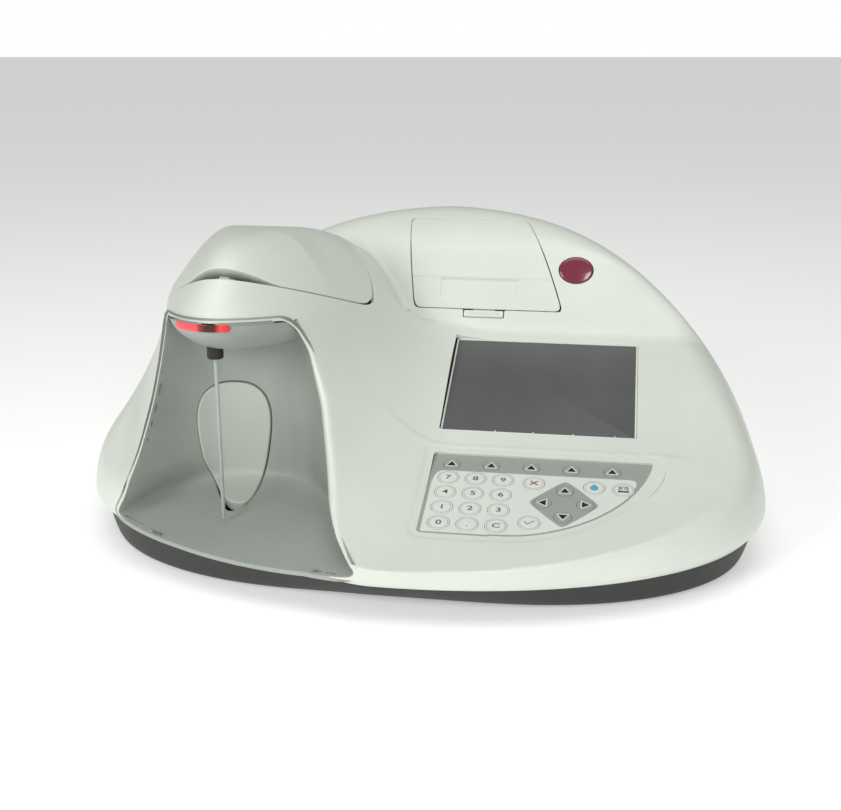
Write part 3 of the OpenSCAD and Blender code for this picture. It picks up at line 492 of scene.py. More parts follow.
def lathe(profile, turns, at, axis, closed=True):
    """Profile of (radius, height) turned about an axis through `at`: points, faces."""
    profile = np.asarray(profile, float)
    axis = unit(np.asarray(axis, float))
    side = unit(np.cross(axis, [0.31, 0.57, 0.76]))
    other = np.cross(axis, side)
    a = np.linspace(0.0, 360.0, turns, endpoint=False)
    ring = cosd(a)[:, None] * side + sind(a)[:, None] * other
    points = np.asarray(at) + profile[:, None, 0:1] * ring[None] + profile[:, None, 1:2] * axis
    return points.reshape(-1, 3), ring_faces(len(profile), turns, closed)


def prism(outline, low, high, frame_of):
    """Flat outline given thickness: top, bottom and quads round. frame_of(x, v, w) puts points in place."""
    outline = np.asarray(outline, float)
    area = (outline[:, 0] * np.roll(outline[:, 1], -1) - outline[:, 1] * np.roll(outline[:, 0], -1)).sum()
    if area < 0:
        outline = outline[::-1]
    n = len(outline)
    points = np.concatenate([frame_of(outline[:, 0], outline[:, 1], np.full(n, high)),
                             frame_of(outline[:, 0], outline[:, 1], np.full(n, low))])
    i, j = round_of(n)
    sides = np.stack([i, n + i, n + j, j], 1).tolist()
    return points, [i.tolist(), (n + i[::-1]).tolist()] + sides


def rounded_box(low, high, r, frame_of, steps=5):
    """Box with round edges: each direction of a sphere's grid starts from the nearest corner's centre."""
    low, high = np.asarray(low, float), np.asarray(high, float)
    t = np.linspace(2.0, 88.0, steps)
    lon = np.concatenate([t, t + 90.0, t + 180.0, t + 270.0])
    lat = np.concatenate([t - 90.0, t])
    lon, lat = np.meshgrid(lon, lat)
    d = np.stack([cosd(lat) * cosd(lon), cosd(lat) * sind(lon), sind(lat)], -1)
    core = (high - low) / 2.0 - r
    q = ((low + high) / 2.0 + np.sign(d) * core + r * d).reshape(-1, 3)
    return frame_of(*q.T), capped_rings(*lat.shape)


def joined(parts):
    """Several (points, faces, mark) as one list of points, faces and marks."""
    points, faces, marks, start = [], [], [], 0
    for p, f, mark in parts:
        f = f.tolist() if isinstance(f, np.ndarray) else f
        points.append(p)
        faces += [[start + i for i in face_ids] for face_ids in f]
        marks += [mark] * len(f)
        start += len(p)
    return np.concatenate(points), faces, marks


# ---------- materials ----------
def srgb(r, g, b):
    """Colour given as 0-255 display values, made linear."""
    c = np.array([r, g, b]) / 255.0
    return tuple(np.where(c <= 0.04045, c / 12.92, ((c + 0.055) / 1.055) ** 2.4)) + (1.0,)


def set_inputs(node, **values):
    """Sets constants on a node's sockets; an underscore in a name stands for a space."""
    for key, value in values.items():
        node.inputs[key.replace("_", " ")].default_value = value
    return node


def moulded_group():
    """Colour, roughness and height of a moulded surface: slow shading of the colour, a fine pebbled grain,
    and faint handling marks in the gloss."""
    g = bpy.data.node_groups.new("moulded_surface", "ShaderNodeTree")
    for name, kind, value in (("Colour", "Color", (0.8, 0.8, 0.8, 1)),
                              ("Deep colour", "Color", (0.7, 0.7, 0.7, 1)), ("Grain scale", "Float", 1400.0),
                              ("Roughness", "Float", 0.4), ("Roughness spread", "Float", 0.08)):
        socket = g.interface.new_socket(name=name, in_out="INPUT", socket_type="NodeSocket" + kind)
        socket.default_value = value
    for name, kind in (("Colour", "Color"), ("Roughness", "Float"), ("Height", "Float")):
        g.interface.new_socket(name=name, in_out="OUTPUT", socket_type="NodeSocket" + kind)
    nodes, link = g.nodes, g.links.new
    inp, out = nodes.new("NodeGroupInput"), nodes.new("NodeGroupOutput")
    where = nodes.new("ShaderNodeTexCoord").outputs["Object"]
    slow = set_inputs(nodes.new("ShaderNodeTexNoise"), Scale=14.0, Detail=4.0)
    fine = set_inputs(nodes.new("ShaderNodeTexNoise"), Detail=2.0)
    cells = nodes.new("ShaderNodeTexVoronoi")
    marks = set_inputs(nodes.new("ShaderNodeTexNoise"), Scale=90.0, Detail=6.0)
    for tex in (slow, fine, cells, marks):
        link(where, tex.inputs["Vector"])
    link(inp.outputs["Grain scale"], fine.inputs["Scale"])
    link(inp.outputs["Grain scale"], cells.inputs["Scale"])
    shade = set_inputs(nodes.new("ShaderNodeMapRange"), From_Min=0.35, From_Max=0.7)
    link(slow.outputs["Fac"], shade.inputs["Value"])
    colour = nodes.new("ShaderNodeMix")
    colour.data_type = "RGBA"
    link(shade.outputs["Result"], colour.inputs["Factor"])
    link(inp.outputs["Colour"], colour.inputs["A"])
    link(inp.outputs["Deep colour"], colour.inputs["B"])
    link(colour.outputs["Result"], out.inputs["Colour"])
    rough = nodes.new("ShaderNodeMath")
    rough.operation = "MULTIPLY_ADD"
    link(marks.outputs["Fac"], rough.inputs[0])
    link(inp.outputs["Roughness spread"], rough.inputs[1])
    link(inp.outputs["Roughness"], rough.inputs[2])
    link(rough.outputs[0], out.inputs["Roughness"])
    grain = nodes.new("ShaderNodeMath")
    grain.operation = "MULTIPLY_ADD"
    grain.inputs[1].default_value = 0.6
    link(cells.outputs["Distance"], grain.inputs[0])
    link(fine.outputs["Fac"], grain.inputs[2])
    link(grain.outputs[0], out.inputs["Height"])
    return g


MOULDED = moulded_group()


def moulded(name, colour, deep, rough=0.4, spread=0.08, grain=1400.0, depth=0.03, **settings):
    """Material of a moulded piece. depth is the grain's height in millimetres; settings go on the shader."""
    m = bpy.data.materials.new(name)
    m.use_nodes = True
    nodes, link = m.node_tree.nodes, m.node_tree.links.new
    shader = nodes["Principled BSDF"]
    group = nodes.new("ShaderNodeGroup")
    group.node_tree = MOULDED
    set_inputs(group, Colour=srgb(*colour), Deep_colour=srgb(*deep), Grain_scale=grain, Roughness=rough,
               Roughness_spread=spread)
    bump = set_inputs(nodes.new("ShaderNodeBump"), Distance=depth * MM, Strength=0.5)
    link(group.outputs["Colour"], shader.inputs["Base Color"])
    link(group.outputs["Roughness"], shader.inputs["Roughness"])
    link(group.outputs["Height"], bump.inputs["Height"])
    link(bump.outputs["Normal"], shader.inputs["Normal"])
    set_inputs(shader, **settings)
    return m


WHITE = moulded("housing_white", (226, 231, 221), (219, 224, 214), rough=0.34, spread=0.07,
                Coat_Weight=0.12, Coat_Roughness=0.25)
GREY = moulded("bay_grey", (166, 172, 165), (157, 163, 156), rough=0.42)
LIGHT_GREY = moulded("button_grey", (196, 201, 191), (188, 193, 184), rough=0.42)
DARK = moulded("base_dark", (36, 38, 35), (29, 31, 28), rough=0.5, grain=900.0, depth=0.06)
BLACK = moulded("black_plastic", (22, 24, 21), (12, 13, 11), rough=0.45)
RUBBER = moulded("rubber_black", (30, 30, 30), (20, 20, 20), rough=0.75, grain=600.0, depth=0.08)
FRAME_GREY = moulded("frame_grey", (88, 91, 88), (76, 79, 76), rough=0.55, grain=900.0, depth=0.05)
MODULE = moulded("module_black", (46, 47, 49), (34, 35, 37), rough=0.5)
ROTOR = moulded("rotor_white", (214, 214, 208), (202, 202, 196), rough=0.5)
BOARD = moulded("board_green", (28, 92, 62), (20, 70, 48), rough=0.4, grain=500.0, depth=0.04)
PAPER = moulded("paper_white", (243, 243, 238), (234, 234, 228), rough=0.85, grain=2600.0, depth=0.02)
STEEL = moulded("turned_steel", (190, 190, 186), (168, 168, 165), rough=0.22, grain=2200.0, depth=0.01,
                Metallic=1.0)
GLASS = moulded("cell_glass", (226, 236, 240), (216, 228, 234), rough=0.04, spread=0.03, depth=0.002,
                Transmission_Weight=0.9, IOR=1.46)
NEEDLE = moulded("needle_clear", (226, 234, 232), (206, 216, 214), rough=0.18, grain=900.0, depth=0.02,
                 Transmission_Weight=0.45, IOR=1.38)
FILM = moulded("film_white", (228, 233, 225), (222, 227, 219), rough=0.46, grain=2400.0, depth=0.015)
FILM_GREY = moulded("film_grey", (163, 170, 163), (156, 163, 156), rough=0.46, grain=2400.0, depth=0.015)
PRINT = {"rough": 0.5, "grain": 2400.0, "depth": 0.01}
INK_BLACK = moulded("ink_black", (14, 15, 13), (8, 9, 8), **PRINT)
INK_GREY = moulded("ink_grey", (84, 90, 84), (74, 80, 74), **PRINT)
# Grey of the printed lines on the keys, also used as painted shade for the groove beside the keypad
LINE_INK_AND_GROOVE_SHADE = moulded("ink_line_and_painted_groove_shade", (150, 157, 150), (140, 147, 140), **PRINT)
INK_RED = moulded("ink_red", (176, 62, 58), (160, 50, 48), **PRINT)
INK_BLUE = moulded("ink_blue", (104, 178, 214), (86, 160, 200), **PRINT)
BADGE = moulded("badge_red", (126, 44, 66), (104, 30, 52), rough=0.14, spread=0.05, grain=500.0, depth=0.01,
                Coat_Weight=0.6, Coat_Roughness=0.05)
SCREEN = moulded("screen_grey", (92, 93, 93), (82, 83, 84), rough=0.3, spread=0.1, grain=3200.0, depth=0.01,
                 Coat_Weight=0.25, Coat_Roughness=0.2)
# Red light: share of the way along the bar, linear colour
RED_STOPS = ((0.0, (0.30, 0.01, 0.01)), (0.07, (0.80, 0.04, 0.05)), (0.45, (0.80, 0.06, 0.08)),
             (0.54, (0.20, 0.01, 0.01)), (0.64, (0.02, 0.002, 0.001)), (0.78, (0.05, 0.004, 0.003)),
             (0.86, (0.60, 0.03, 0.03)), (1.0, (0.40, 0.02, 0.02)))
RED_LEFT, RED_RIGHT = -0.128, -0.092


def glowing_red():
    """Lit diffuser: bright on the left, dark where no lamp sits behind it, and lit again at its right end."""
    m = moulded("light_red", (214, 60, 78), (180, 40, 60), rough=0.3, grain=700.0, depth=0.02)
    nodes, link = m.node_tree.nodes, m.node_tree.links.new
    place = nodes.new("ShaderNodeSeparateXYZ")
    link(nodes.new("ShaderNodeTexCoord").outputs["Object"], place.inputs["Vector"])
    ramp_node = nodes.new("ShaderNodeValToRGB")
    across = set_inputs(nodes.new("ShaderNodeMapRange"), From_Min=RED_LEFT, From_Max=RED_RIGHT)
    link(place.outputs["X"], across.inputs["Value"])
    link(across.outputs["Result"], ramp_node.inputs["Fac"])
    elements = ramp_node.color_ramp.elements
    while len(elements) < len(RED_STOPS):
        elements.new(0.5)
    for element, (at, colour) in zip(elements, RED_STOPS):
        element.position, element.color = at, colour + (1.0,)
    shader = nodes["Principled BSDF"]
    link(ramp_node.outputs["Color"], shader.inputs["Emission Color"])
    link(ramp_node.outputs["Color"], shader.inputs["Base Color"])
    shader.inputs["Emission Strength"].default_value = 0.6
    return m


RED_LIGHT = glowing_red()

# ---------- the sampling bay ----------
BAY_BACK, BAY_FLOOR = -56.0, 24.0
BAY_LEFT = np.array([[20.0, 27.0, 33.0, 41.0, 50.0, 80.0, 110.0, 135.0, 150.0],
                     [-181.0, -174.0, -165.0, -156.5, -153.0, -159.0, -157.0, -152.0, -150.0]])
BAY_RIGHT = np.array([[10.0, 18.0, 24.0, 33.0, 41.0, 52.0, 100.0, 130.0, 150.0],
                      [6.0, -8.0, -15.0, -31.0, -39.0, -43.0, -44.3, -50.5, -62.0]])
CEILING_SLOPE = 0.13


def bay_sides(z):
    """Left and right edge of the bay at a height, each read from its list and averaged over 8 mm."""
    spread = np.linspace(-4.0, 4.0, 7)
    return tuple(np.mean([np.interp(z + d, *side) for d in spread], axis=0)
                 for side in (BAY_LEFT, BAY_RIGHT))


def bay_foot(z):
    """Reach of the wall's sweep into the floor: 102 mm at the floor, growing as the fifth power downwards."""
    return 102.0 * (np.clip(50.0 - z, 0.0, 40.0) / (50.0 - BAY_FLOOR)) ** 5


def bay_wall(x, z):
    """Y of the bay's wall: flat in the middle, swept forward as |s|^3.2 at its sides and into the floor."""
    left, right = bay_sides(z)
    s = (x - (left + right) / 2.0) / ((right - left) / 2.0)
    side = np.where(s < 0.0, 38.0, 62.0) * np.abs(s) ** 3.2
    return BAY_BACK - bay_foot(z) - side


def ceiling(y):
    """Height of the head's lower edge."""
    return HEAD_EDGE - 1.5 - CEILING_SLOPE * (y + 85.0)


def wall_field(p):
    """Distance behind the bay's wall."""
    x, y, z = p.T
    gx, gz = slopes(bay_wall, x, z, 0.3)
    return (y - bay_wall(x, z)) / np.sqrt(1.0 + gx * gx + gz * gz)


def bay_field(p):
    """Distance outside the bay: above its ceiling or behind its wall, the corner rounded."""
    above = (p[:, 2] - ceiling(p[:, 1])) / np.sqrt(1.0 + CEILING_SLOPE ** 2)
    return soft_max(above, wall_field(p), 9.0)


def bay_roll(p):
    """Radius of the housing's edge round the bay: large down the right leg, small under the head."""
    down = ramp(ceiling(p[:, 1]) - p[:, 2], -4.0, 48.0)
    right = ramp(p[:, 0], -85.0, -55.0) * ramp(p[:, 2], 30.0, 60.0)
    return 0.45 + down * (0.25 + 4.8 * right)


def bay_rows(p, n, field, roll, depth):
    """Edge at the bay: rolled over to the bay's own surface, then turned away from it behind the panel."""
    b = -unit(gradient(field, p, 0.2))
    g = unit(b - n * (b * n).sum(1, keepdims=True))
    corner = p + roll * g / np.clip((g * b).sum(1, keepdims=True), 0.35, 1.0)
    inward = -unit(n - b * (b * n).sum(1, keepdims=True))
    foot = corner + roll * inward
    for _ in range(3):
        foot = foot + b * field(foot)[:, None]
    rows, normals = [], []
    for s in (0.12, 0.25, 0.4, 0.55, 0.7, 0.85, 1.0):
        rows.append(curve(p, corner, foot, s))
        normals.append(unit((1 - s) * n + s * b))
    return rows + [foot + 0.35 * inward - 0.5 * b, foot - depth * b], normals + [b, b]


# ---------- openings ----------
LID_HALF, LID_BACK, HEAD_PIN = 69.0, 53.4, (HEAD_X, 31.0, 173.838)
HEAD_END = HEAD_PIN[1] + 2.4
PARTING_SLOPE = 0.35
LIP_X, LIP_HALF, LIP_RISE = -103.0, 29.0, 6.3


def lip_arch(x):
    """Rise of the head cover's front edge over the finger scoop."""
    return LIP_RISE * (1.0 - np.clip(((x - LIP_X) / LIP_HALF) ** 2, 0.0, 1.0)) ** 1.3


def lid_field(p, arch=0.0):
    """Distance inside the head cover's room: above the parting plane, within straight sides and a round
    back."""
    x, y, z = p.T
    above = (z - 135.5 + PARTING_SLOPE * y - arch * lip_arch(x)) / np.sqrt(1.0 + PARTING_SLOPE ** 2)
    back_y = HEAD_END - LID_BACK
    side = LID_HALF - np.abs(x - HEAD_X)
    around = (1.0 - np.hypot((x - HEAD_X) / LID_HALF, np.maximum(y - back_y, 0.0) / LID_BACK)) * LID_BACK
    return soft_min(above, np.where(y < back_y, side, around), 7.0)


COVER_AT, COVER_LOOK = (0.0, 50.0, 127.0), 50.0
COVER_OUTLINE = np.array([[-20.6, 0.0], [82.0, 0.0], [75.6, 22.8], [63.0, 51.0], [55.5, 68.0], [-28.0, 68.0],
                          [-26.0, 34.0]])
COVER_CORNER = 5.0


def polygon_field(x, v, outline, corner):
    """Distance inside a convex outline listed anticlockwise, its corners rounded."""
    a, b = outline, np.roll(outline, -1, axis=0)
    d = unit(b - a)
    value = None
    for k in range(len(a)):
        side = (x - a[k, 0]) * -d[k, 1] + (v - a[k, 1]) * d[k, 0]
        value = side if value is None else soft_min(value, side, corner)
    return value


def cover_field(p):
    """Distance inside the printer cover's room."""
    x, v, w = to_slope(*p.T, COVER_AT, COVER_LOOK)
    return np.where(w > -40.0, polygon_field(x, v, COVER_OUTLINE, COVER_CORNER), FAR_OUTSIDE)


WINDOW_W, WINDOW_H, SURROUND = 118.0, 89.0, 1.3
LATCH_X, LATCH_W, LATCH_H = 28.0, 27.0, 5.0
BADGE_AT = np.array([89.3, 60.2, float(bare_skin(np.array(89.3), np.array(60.2)))])
BADGE_TILT, BADGE_W, BADGE_H = 66.4, 23.0, 18.0
GAP = 0.6


def on_slope(at, tilt, reach, test):
    """Field of points from a field on a slope, for points nearer to the slope than `reach`."""
    def field(p):
        x, v, w = to_slope(*p.T, at, tilt)
        return np.where(np.abs(w) < reach, test(x, v), FAR_OUTSIDE)
    return field


def window_room(x, v):
    half_w, half_h = WINDOW_W / 2.0 + SURROUND, WINDOW_H / 2.0 + SURROUND
    return box_field(x, v, (-half_w, -half_h, half_w, half_h), 0.6)


def latch_room(x, v):
    half = LATCH_W / 2.0 + GAP
    return box_field(x, v, (LATCH_X - half, -LATCH_H - GAP, LATCH_X + half, 3.0), 1.0)


def badge_room(x, v):
    return (1.0 - np.hypot(x / (BADGE_W / 2.0 + 0.3), v / (BADGE_H / 2.0 + 0.3))) * BADGE_H / 2.0


INLET_ROOM, WASTE_X, WASTE_Z, WASTE_ROOM_R = (45.7, 30.7, 74.3, 79.3), -120.0, 45.0, 6.4


def rear_field(p):
    """Distance inside the rooms of the power inlet and of the waste outlet."""
    x, y, z = p.T
    inlet = box_field(x, z, INLET_ROOM, 1.0)
    waste = WASTE_ROOM_R - np.hypot(x - WASTE_X, z - WASTE_Z)
    return np.where(y > 100.0, np.maximum(inlet, waste), FAR_OUTSIDE)


def outside(field):
    return lambda p: -field(p)


def polar_sheet(angles, rings, low=0.0, high=1.0, flank=0, pole=False):
    """Parameters of the housing's surface: rings at equal lengths along the surface in every direction."""
    fine = np.linspace(low, high, 700)
    a = np.repeat(angles, len(fine))
    p = body_place(np.stack([a, np.tile(fine, len(angles)), 0.0 * a], -1)).reshape(len(angles), len(fine), 3)
    steps = np.linalg.norm(np.diff(p, axis=1), axis=2)
    run = np.concatenate([np.zeros((len(angles), 1)), np.cumsum(steps, axis=1)], 1)
    want = np.linspace(0.0, 1.0, rings)
    share = np.stack([np.interp(want * run[i, -1], run[i], fine) for i in range(len(angles))], 1)
    rows = [np.stack([angles, s, 0.0 * angles], -1) for s in share[1:]]
    if not pole:
        rows.insert(0, np.stack([angles, share[0], 0.0 * angles], -1))
    for k in np.linspace(0.0, 1.0, flank + 1)[1:]:
        rows.append(np.stack([angles, np.ones_like(angles), np.full_like(angles, k)], -1))
    n, m = len(rows), len(angles)
    par = np.concatenate(rows)
    if not pole:
        return par, grid_faces(n, m)
    i, j = round_of(m)
    faces = [np.stack([i, j, 0 * i + n * m], 1)]
    for k in range(n - 1):
        faces.append(np.stack([k * m + i, (k + 1) * m + i, (k + 1) * m + j], 1))
        faces.append(np.stack([k * m + i, (k + 1) * m + j, k * m + j], 1))
    return np.concatenate([par, [[angles[0], 0.0, 0.0]]]), np.concatenate(faces)


def build_housing():
    """Upper housing with all its openings."""
    angles = np.concatenate([np.arange(112.0, 180.0, 1.2), np.arange(180.0, 290.0, 0.8),
                             np.arange(290.0, 471.5, 1.15)])
    rooms = [(lid_field, 0.5), (cover_field, 0.5), (on_slope(SCREEN_AT, SCREEN_TILT, 20.0, window_room), 0.6),
             (on_slope(KEYPAD_AT, KEYPAD_TILT, 12.0, pad_field), 0.35),
             (on_slope(COVER_AT, COVER_LOOK, 14.0, latch_room), 0.35),
             (on_slope(BADGE_AT, BADGE_TILT, 10.0, badge_room), 0.3), (rear_field, 0.6)]
    cuts = [(bay_field, bay_roll, bay_rows)] + [(outside(field), roll, None) for field, roll in rooms]
    sheet = polar_sheet(angles, 138, flank=8, pole=True)
    make_moulding("housing_shell", body_place, body_normal, sheet, cuts, WALL, WHITE, "chassis",
                  ["upper_housing"])


def lid_rows(p, n, field, roll, depth):
    """Edge of the head cover: rounded, and under the finger scoop turned far inwards and down."""
    rows, normals = edge_rows(p, n, field, roll, depth)
    arch = lip_arch(p[:, 0])[:, None] * ramp(-p[:, 1], 60.0, 90.0)[:, None]
    up = np.array([0.0, 0.0, 1.0])
    flat = unit(n * np.array([1.0, 1.0, 0.0]))
    end = rows[-1]
    deep = rows[-2] - flat * (0.4 + 0.62 * arch) - up * (arch + 1.2)
    share = np.clip(arch / 1.5, 0.0, 1.0)
    inner = end - flat * 2.0 * share
    under = unit(mix(normals[-1], unit(flat * 0.4 - up * 0.9), share))
    return rows[:-1] + [mix(end, deep, share), mix(end, inner - up * arch, share)], normals[:-1] + [under, -n]


KNUCKLE_R, KNUCKLE_W, KNUCKLE_OFF, KNUCKLE_SIDES = 3.0, 11.0, 14.0, 32
PRINTER_PIN = (18.0, 89.503, 178.989)


def knuckle_parts(at, web):
    """Two hinge knuckles: teardrops round the pin, drawn up to the cover above them, extruded along X."""
    a = np.linspace(0.0, 360.0, KNUCKLE_SIDES + 1)[:-1]
    outer = np.stack([at[1] + KNUCKLE_R * cosd(a), at[2] + KNUCKLE_R * sind(a)], -1)
    outer = outer + ramp(sind(a), 0.2, 1.0)[:, None] * np.array(web)
    parts = []
    for side in (-1.0, 1.0):
        start = at[0] + side * KNUCKLE_OFF - KNUCKLE_W / 2.0
        ends = [np.stack([np.full(KNUCKLE_SIDES, x), outer[:, 0], outer[:, 1]], -1)
                for x in (start, start + KNUCKLE_W)]
        parts.append((np.concatenate(ends), capped_rings(2, KNUCKLE_SIDES)))
    return parts


def build_head_cover():
    """Head cover from the housing's own surface, with its knuckles."""
    sheet = polar_sheet(np.arange(116.0, 264.0, 0.75), 150, 0.1, 0.985)
    cuts = [(lambda p: lid_field(p, 1.0) - GAP - 1.5 * ramp(p[:, 1], 8.0, 26.0), 0.6, lid_rows)]
    make_moulding("head_cover_shell", body_place, body_normal, sheet, cuts, THIN_WALL, WHITE, "head_lid",
                  ["head_cover"])
    make_joined("head_cover_knuckles", knuckle_parts(HEAD_PIN, (-5.0, 0.9)), WHITE, "head_lid")


CREASE_V, RECESS = 21.0, (-3.0, 6.6, 51.5, 20.6)


def cover_relief(x, v):
    """Depth of the printer cover's lower part, below its crease, and of the shallow recess in it."""
    lower = 0.55 * (1.0 - ramp(v, CREASE_V - 0.8, CREASE_V + 0.6))
    narrow = RECESS[0] + 0.02 * (v - RECESS[1]), RECESS[1], RECESS[2] - 0.16 * (RECESS[3] - v), RECESS[3]
    inside = box_field(x, v, narrow, 1.6)
    return lower + 1.1 * ramp(inside, -0.2, 1.1) * mix(0.55, 1.0, ramp(v, RECESS[1], RECESS[3]))


def cover_place(par):
    """Printer cover surface: the point on the dome straight in from (x, v) on the cover's frame."""
    x, v = par.T
    low, high = np.full_like(x, -45.0), np.full_like(x, 45.0)
    for _ in range(26):
        w = (low + high) / 2.0
        p = from_slope(x, v, w, COVER_AT, COVER_LOOK)
        under = p[:, 2] < skin_z(p[:, 0], p[:, 1])
        low, high = np.where(under, w, low), np.where(under, high, w)
    return from_slope(x, v, low - cover_relief(x, v), COVER_AT, COVER_LOOK)


def sheet_normal(place, steps):
    """Normal of a surface from the differences along its two parameters."""
    def normal(par):
        du = place(par + [steps[0], 0.0]) - place(par - [steps[0], 0.0])
        dv = place(par + [0.0, steps[1]]) - place(par - [0.0, steps[1]])
        return unit(np.cross(du, dv))
    return normal


def cover_gap(p):
    """Gap round the printer cover, closing up to a fine line towards its hinge."""
    v = to_slope(*p.T, COVER_AT, COVER_LOOK)[1]
    return mix(GAP, 0.3, ramp(v, 36.0, 50.0))


def build_printer_cover():
    """Cover of the strip printer, with its crease, its recess and its knuckles, and its latch."""
    sheet = grid(np.arange(-34.0, 83.0, 0.75), np.concatenate([np.arange(-2.0, 24.0, 0.45),
                                                              np.arange(24.0, 71.0, 1.0)]))
    cuts = [(lambda p: cover_field(p) - cover_gap(p), 0.4, None)]
    make_moulding("printer_cover_shell", cover_place, sheet_normal(cover_place, (0.15, 0.15)), sheet, cuts,
                  THIN_WALL, WHITE, "printer_lid", ["printer_cover"])
    make_joined("printer_cover_knuckles", knuckle_parts(PRINTER_PIN, (-6.0, -2.6)), WHITE, "printer_lid")

    def dome_frame(x, v, w):
        return from_slope(x, v, w, COVER_AT, COVER_LOOK)
    left, right = LATCH_X - LATCH_W / 2.0, LATCH_X + LATCH_W / 2.0
    tab = rounded_box((left, -LATCH_H, -5.0), (right, -0.3, 0.35), 0.7, dome_frame)
    ridge = rounded_box((left + 3.0, -3.6, 0.0), (right - 3.0, -2.2, 0.75), 0.6, dome_frame)
    catch = rounded_box((LATCH_X - 7.5, -3.0, -5.0), (LATCH_X + 7.5, 2.0, -2.2), 0.5, dome_frame)
    make_joined("printer_latch_tab", [tab, ridge, catch], WHITE, "latch", ["printer_latch"])


# ---------- panel, button, underside of the head ----------
EGG_X, EGG_Z, EGG_W, EGG_H, EGG_TAPER, EGG_POWER = -116.0, 64.0, 41.0, 77.0, 0.28, 2.6
EGG_MID, EGG_DROP, EGG_DRIFT = 61.0, 0.305, 0.3


def egg_value(x, z):
    """Superellipse whose heights are measured along the wall, stretching where it sweeps into the floor."""
    foot = bay_foot(z)
    s = np.clip((z - EGG_DROP * foot - EGG_MID) / (EGG_H / 2.0), -1.6, 1.6)
    half = EGG_W / 2.0 * (1.0 + EGG_TAPER * s)
    return 1.0 - np.abs((x - EGG_X - EGG_DRIFT * foot) / half) ** EGG_POWER - np.abs(s) ** EGG_POWER


def egg_field(p):
    """Distance inside the button's egg outline, which widens towards its top."""
    x, z = p[:, 0], p[:, 2]
    gx, gz = slopes(egg_value, x, z, 0.1)
    return egg_value(x, z) / np.maximum(np.hypot(gx, gz), 0.012)


def bay_place_at(proud):
    """Bay surface by share of its half width and height, moved out of the wall by `proud`."""
    def place(par):
        s, z = par.T
        left, right = bay_sides(z)
        x = (left + right) / 2.0 + s * (right - left) / 2.0
        p = np.stack([x, bay_wall(x, z), z], -1)
        return p + proud * bay_normal_at(p)
    return place


def bay_normal_at(p):
    gx, gz = slopes(bay_wall, p[:, 0], p[:, 2], 0.3)
    return unit(np.stack([gx, -np.ones_like(gx), gz], -1))


def bay_normal(par):
    return bay_normal_at(bay_place_at(0.0)(par))


def under_skin(p):
    """Distance inside the housing's outer surface, sideways below the widest line."""
    x, y, z = p.T
    gx, gy = slopes(skin_z, x, y, 0.3)
    upper = (skin_z(x, y) - z) / np.sqrt(1.0 + gx * gx + gy * gy)
    r, a = np.hypot(x, y - RIM_Y), np.degrees(np.arctan2(y - RIM_Y, x))
    k = np.clip((RIM_Z - z) / (RIM_Z - seam_height(x)), 0.0, 1.0)
    side = rim_radius(a) - FLANK_INSET * k * k - r
    return np.where(z < RIM_Z, side, np.minimum(upper, np.maximum(side, 0.0) + 400.0 * (side > 0.5)))


def panel_edge(p):
    """Inside of the panel's outer edge: clear of the rolled edge of the housing."""
    above_seam = ramp(p[:, 2], 24.0, 30.0)
    return under_skin(p) - mix(0.2, bay_roll(p) + 0.12, above_seam)


STEM_PROFILE = [(0.01, 0.0), (4.0, 0.0), (4.0, 22.4), (3.4, 23.0), (0.01, 23.0)]


def build_bay():
    """Grey panel of the bay, the egg-shaped button in it, and the bowl under the head."""
    sheet = grid(np.concatenate([np.linspace(-1.6, -1.0, 30), np.linspace(-1.0, 1.0, 120)[1:],
                                 np.linspace(1.0, 1.5, 28)[1:]]),
                 np.concatenate([np.linspace(19.0, 50.0, 100), np.linspace(50.0, 168.0, 110)[1:]]))
    cuts = [(panel_edge, 0.2, None), (lambda p: ceiling(p[:, 1]) - 0.4 - p[:, 2], 0.1, None),
            (outside(lambda p: egg_field(p) + 0.7), 0.5, None)]
    make_moulding("bay_panel", bay_place_at(0.0), bay_normal, sheet, cuts, THIN_WALL, GREY, "chassis",
                  ["sample_bay_panel"])
    sheet = grid(np.linspace(-0.85, 0.7, 90), np.linspace(26.0, 102.0, 140))
    make_moulding("button_face", bay_place_at(1.5), bay_normal, sheet, [(egg_field, 1.1, None)], 6.0,
                  LIGHT_GREY, "start_button", ["aspiration_button"])
    points, faces = lathe(STEM_PROFILE, 32, (EGG_X, BAY_BACK + 2.0, EGG_Z), (0, 1, 0), False)
    make_piece("button_stem", points, faces, LIGHT_GREY, "start_button")
    sheet = grid(np.linspace(0.0, 1.0, 90), np.linspace(0.0, 1.0, 70))
    cuts = [(lambda p: p[:, 1] - HEAD_FRONT - 1.3, 0.01, None)]
    make_moulding("head_underside", bowl_place, sheet_normal(bowl_place, (-0.002, 0.002)), sheet, cuts, 1.6,
                  GREY, "chassis", ["nose_underside"])


def bowl_place(par):
    """Bowl under the head: quarter ellipse 16.5 deep and 32 wide in from the head's outline."""
    u, t = par.T
    y = HEAD_FRONT + 1.2 + (BAY_BACK + 8.0 - HEAD_FRONT - 1.2) * np.clip(t, 0.0, 2.0) ** 1.7
    x = HEAD_X + sind(180.0 * u - 90.0) * (HEAD_SPREAD * np.sqrt(y - HEAD_FRONT) - 1.0)
    inwards = np.clip((head_in(x, y) - 0.9) / 32.0, 0.0, 1.0)
    return np.stack([x, y, ceiling(y) - 0.9 - 16.5 * np.sqrt(1.0 - (1.0 - inwards) ** 2)], -1)


